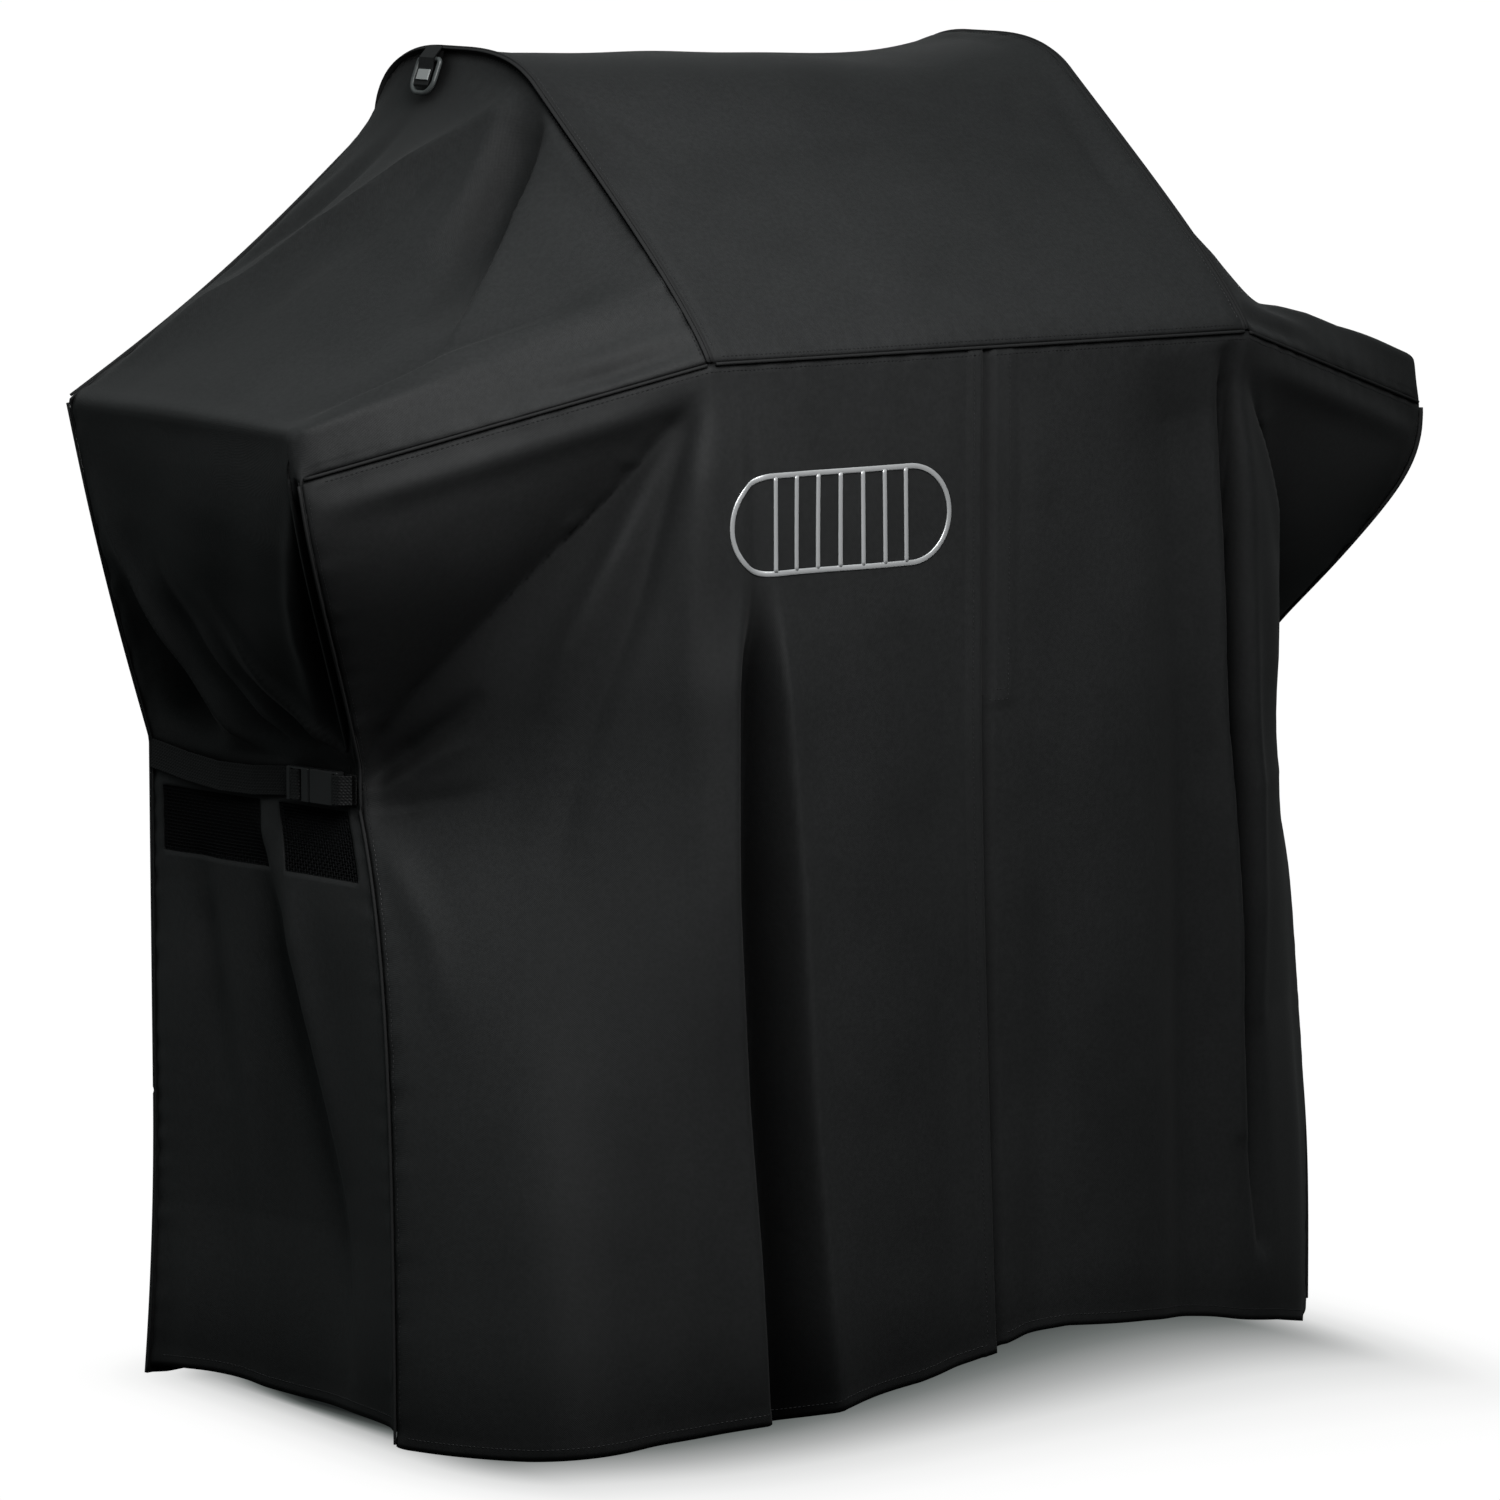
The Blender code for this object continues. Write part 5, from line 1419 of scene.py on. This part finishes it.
def build_tab_patch(word, bar, down, face):
    """A plain light patch sewn on the hanging tab, with no lettering."""
    half_down, half_y = 0.0046, 0.0088
    rings = []
    for lift, shrink in ((0.0, 1.0), (0.0006, 1.0), (0.0009, 0.96)):
        middle = bar + down * 0.0145 + face * (0.0019 + lift)
        rings.append(np.array([
            middle + down * (half_down * v * shrink) + np.array((0, half_y * u * shrink, 0))
            for u, v in ((-1, -1), (1, -1), (1, 1), (-1, 1))
        ]))
    patch = add_object(f"{word}_tab_patch", *rings_mesh(rings), "label", smooth=False)
    face_outwards(patch)
    fit(patch, "badge_silver")


for side, word in SIDES:
    build_buckle(word)
    dress_node(f"{word}_hang_tab", "webbing")
    build_straps(side, word)
    lean = math.radians(21)
    tab = (
        np.array((side * 0.2875, 0.150, 1.1195)),
        np.array((side * math.sin(lean), 0.0, -math.cos(lean))),
        np.array((side * math.cos(lean), 0.0, math.sin(lean))),
    )
    build_hang_ring(word, *tab)
    build_tab_patch(word, *tab)
dress_node("placket_facing", "binding")

# ---- stage ----------------------------------------------------------------------------------
WHITE_GLOW = 1.02
# Along X, as a share of 1.2 m from -0.6: how far forward the shadow starts (red, 0.3 m at 1)
# and how fast it fades (green, 2 at 1).
SHADOW_LINE = [
    (0.0, (0.33, 0.9, 0)), (0.142, (0.50, 0.9, 0)), (0.242, (0.667, 0.9, 0)),
    (0.375, (0.667, 0.9, 0)), (0.546, (0.43, 0.65, 0)), (0.725, (0.17, 0.5, 0)),
    (0.82, (0.30, 0.5, 0)), (1.0, (0.40, 0.5, 0)),
]
# Floor colour by the distance from the shadow's edge, as a share of 0.9 from -0.2.
SHADOW_TONES = [
    (0.0, (0.012, 0.014, 0.014)), (0.14, (0.05, 0.056, 0.054)), (0.222, (0.130, 0.142, 0.138)),
    (0.256, (0.178, 0.190, 0.186)), (0.356, (0.405, 0.412, 0.410)),
    (0.444, (0.645, 0.650, 0.648)), (0.478, (0.728, 0.732, 0.730)),
    (0.60, (0.878, 0.880, 0.879)), (0.72, (0.955, 0.956, 0.955)), (0.86, (0.99, 0.99, 0.99)),
    (1.0, (1, 1, 1)),
]


def ramp_node(tree, value, stops, ease="LINEAR"):
    """A colour ramp; the stops run from 0 to 1."""
    node = add_node(tree, "ValToRGB", {"Fac": value})
    node.color_ramp.interpolation = ease
    marks = node.color_ramp.elements
    marks[0].color = (*stops[0][1], 1)
    marks[-1].color = (*stops[-1][1], 1)
    for place, colour in stops[1:-1]:
        marks.new(place).color = (*colour, 1)
    return node.outputs["Color"]


def floor_material():
    """White ground with a soft contact shadow. It fades forwards from a curved line under the
    front hem, faster on the left, and quickly past the two sides; under the cover it is dark."""
    material = bpy.data.materials.new("floor_white")
    material.use_nodes = True
    tree = material.node_tree
    tree.nodes.clear()

    def calc(operation, *values):
        return math_node(tree, operation, *values)

    place = add_node(tree, "TexCoord").outputs["Object"]
    parts = add_node(tree, "SeparateXYZ", {0: place})
    x, y = parts.outputs["X"], parts.outputs["Y"]
    share = calc("DIVIDE", calc("ADD", x, 0.6), 1.2)
    line = ramp_node(tree, share, SHADOW_LINE, "B_SPLINE")
    split = add_node(tree, "SeparateColor", {0: line})
    reach = calc("MULTIPLY", split.outputs[0], 0.3)
    ahead = calc("SUBTRACT", calc("MULTIPLY", y, -1.0), reach)
    ahead = calc("MULTIPLY", ahead, calc("MULTIPLY", split.outputs[1], 2.0))
    behind = calc("MULTIPLY", calc("SUBTRACT", y, 0.225), 3.6)
    front_back = calc("MAXIMUM", ahead, behind)
    sides = calc("MAXIMUM", calc("SUBTRACT", x, 0.38), calc("SUBTRACT", -0.43, x))
    sides = calc("MULTIPLY", calc("MAXIMUM", sides, 0.0), 3.6)
    outside = calc("MAXIMUM", front_back, 0.0)
    squares = calc("ADD", calc("MULTIPLY", outside, outside), calc("MULTIPLY", sides, sides))
    under = calc("MAXIMUM", calc("SUBTRACT", 1.0, calc("MULTIPLY", sides, 7.0)), 0.0)
    inside = calc("MULTIPLY", calc("MINIMUM", front_back, 0.0), under)
    gap = calc("ADD", calc("SQRT", squares), inside)
    tones = ramp_node(tree, calc("DIVIDE", calc("ADD", gap, 0.2), 0.9), SHADOW_TONES)
    glow = add_node(tree, "Emission", {"Strength": WHITE_GLOW, "Color": tones})
    add_node(tree, "OutputMaterial", {"Surface": glow.outputs[0]})
    return material


def build_floor():
    MAT["floor"] = floor_material()
    corners = [(-40, -40), (40, -40), (40, 40), (-40, 40)]
    verts = [(x, y, -0.001) for x, y in corners]
    floor = add_object("floor", verts, [(0, 1, 2, 3)], "floor", smooth=False)
    floor.visible_diffuse = False
    floor.visible_glossy = False
    return floor


# Soft lobes of sky light: azimuth from the front towards +X, elevation (degrees), strength,
# tightness.
SKY_BASE = 0.024
SKY_LOBES = [(-50, 72, 0.85, 6.0), (-105, 25, 0.16, 3.0), (-165, 45, 0.24, 4.0), (120, 12, 0.07, 4.0)]


def sky_strength(tree):
    direction = add_node(tree, "TexCoord").outputs["Generated"]
    total = SKY_BASE
    for azimuth, elevation, strength, tightness in SKY_LOBES:
        a, e = math.radians(azimuth), math.radians(elevation)
        centre = (math.sin(a) * math.cos(e), -math.cos(a) * math.cos(e), math.sin(e))
        dot = add_node(tree, "VectorMath", {0: direction, 1: centre}, operation="DOT_PRODUCT")
        facing = math_node(tree, "MAXIMUM", dot.outputs["Value"], 0.0)
        lobe = math_node(tree, "POWER", facing, tightness)
        total = math_node(tree, "MULTIPLY_ADD", lobe, strength, total)
    return total


def build_world():
    """The lobes light the cover; the camera sees plain white."""
    world = bpy.data.worlds.new("studio")
    bpy.context.scene.world = world
    world.use_nodes = True
    tree = world.node_tree
    sky = tree.nodes["Background"]
    sky.inputs["Color"].default_value = (0.90, 1.0, 0.99, 1)
    tree.links.new(sky_strength(tree), sky.inputs["Strength"])
    white = add_node(tree, "Background", {"Color": (1, 1, 1, 1), "Strength": WHITE_GLOW})
    seen = add_node(tree, "LightPath").outputs["Is Camera Ray"]
    mixer = add_node(tree, "MixShader", {0: seen, 1: sky.outputs[0], 2: white.outputs[0]})
    tree.links.new(mixer.outputs[0], tree.nodes["World Output"].inputs["Surface"])


def aim(obj, direction):
    obj.rotation_mode = "QUATERNION"
    obj.rotation_quaternion = Vector(direction).to_track_quat("-Z", "Y")
    bpy.context.scene.collection.objects.link(obj)


def add_lamp(name, energy, size, place, target, spread):
    data = bpy.data.lights.new(name, "AREA")
    data.shape = "SQUARE"
    data.size = size
    data.energy = energy
    data.spread = math.radians(spread)
    lamp = bpy.data.objects.new(name, data)
    lamp.location = place
    lamp.visible_camera = False
    lamp.visible_glossy = name == "key"
    aim(lamp, Vector(target) - lamp.location)


def build_camera():
    data = bpy.data.cameras.new("camera")
    data.sensor_width = 36
    data.lens = 175.15
    data.clip_end = 60
    camera = bpy.data.objects.new("camera", data)
    camera.location = (-3.643, -5.001, 1.395)
    aim(camera, (0.5762, 0.8054, -0.1388))
    bpy.context.scene.camera = camera
    bpy.context.scene.view_settings.view_transform = "Standard"


floor = build_floor()
build_world()
add_lamp(
    "key", energy=14.0, size=1.1, place=(-0.62, -1.25, 1.85), target=(-0.40, -0.15, 0.82), spread=112
)
add_lamp("back", energy=48.0, size=1.3, place=(1.9, 2.0, 1.45), target=(0.2, 0.2, 0.55), spread=180)
add_lamp(
    "back_left", energy=6.0, size=1.3, place=(-1.6, 2.4, 1.3), target=(-0.2, 0.25, 0.5), spread=180
)
build_camera()


def settle_right_end(obj):
    """The right end has nothing under it beside the hood: its slope sinks into a hollow there,
    all layers together. Its front corner is drawn in a little above the hem."""
    points = mesh_points(obj)
    x, y, z = points.T
    seam_y = np.interp(x, (HOOD_HALF, SHELF_HALF), (FRONT_Y, SHELF_FRONT_Y))
    sink = 0.076 * smooth01((x - 0.288) / 0.064) * (1 - smooth01((x - 0.44) / 0.145))
    sink = sink * smooth01((y - seam_y - 0.004) / 0.12) * smooth01((z - 0.60) / 0.24)
    pull = 0.003 * np.clip(1 - z / 0.30, 0, 1) + 0.008 * bump(z - 0.29, 0.11)
    pull = pull * smooth01((x - 0.34) / 0.12) * smooth01((0.16 - y) / 0.22)
    if max(sink.max(), pull.max()) > 1e-5:
        points[:, 2] -= sink
        points[:, 0] -= pull
        obj.data.vertices.foreach_set("co", points.ravel())
        obj.data.update()


for obj in bpy.context.scene.objects:
    if obj.type == "MESH" and obj.name not in frame["nodes"] and obj is not floor:
        settle_right_end(obj)
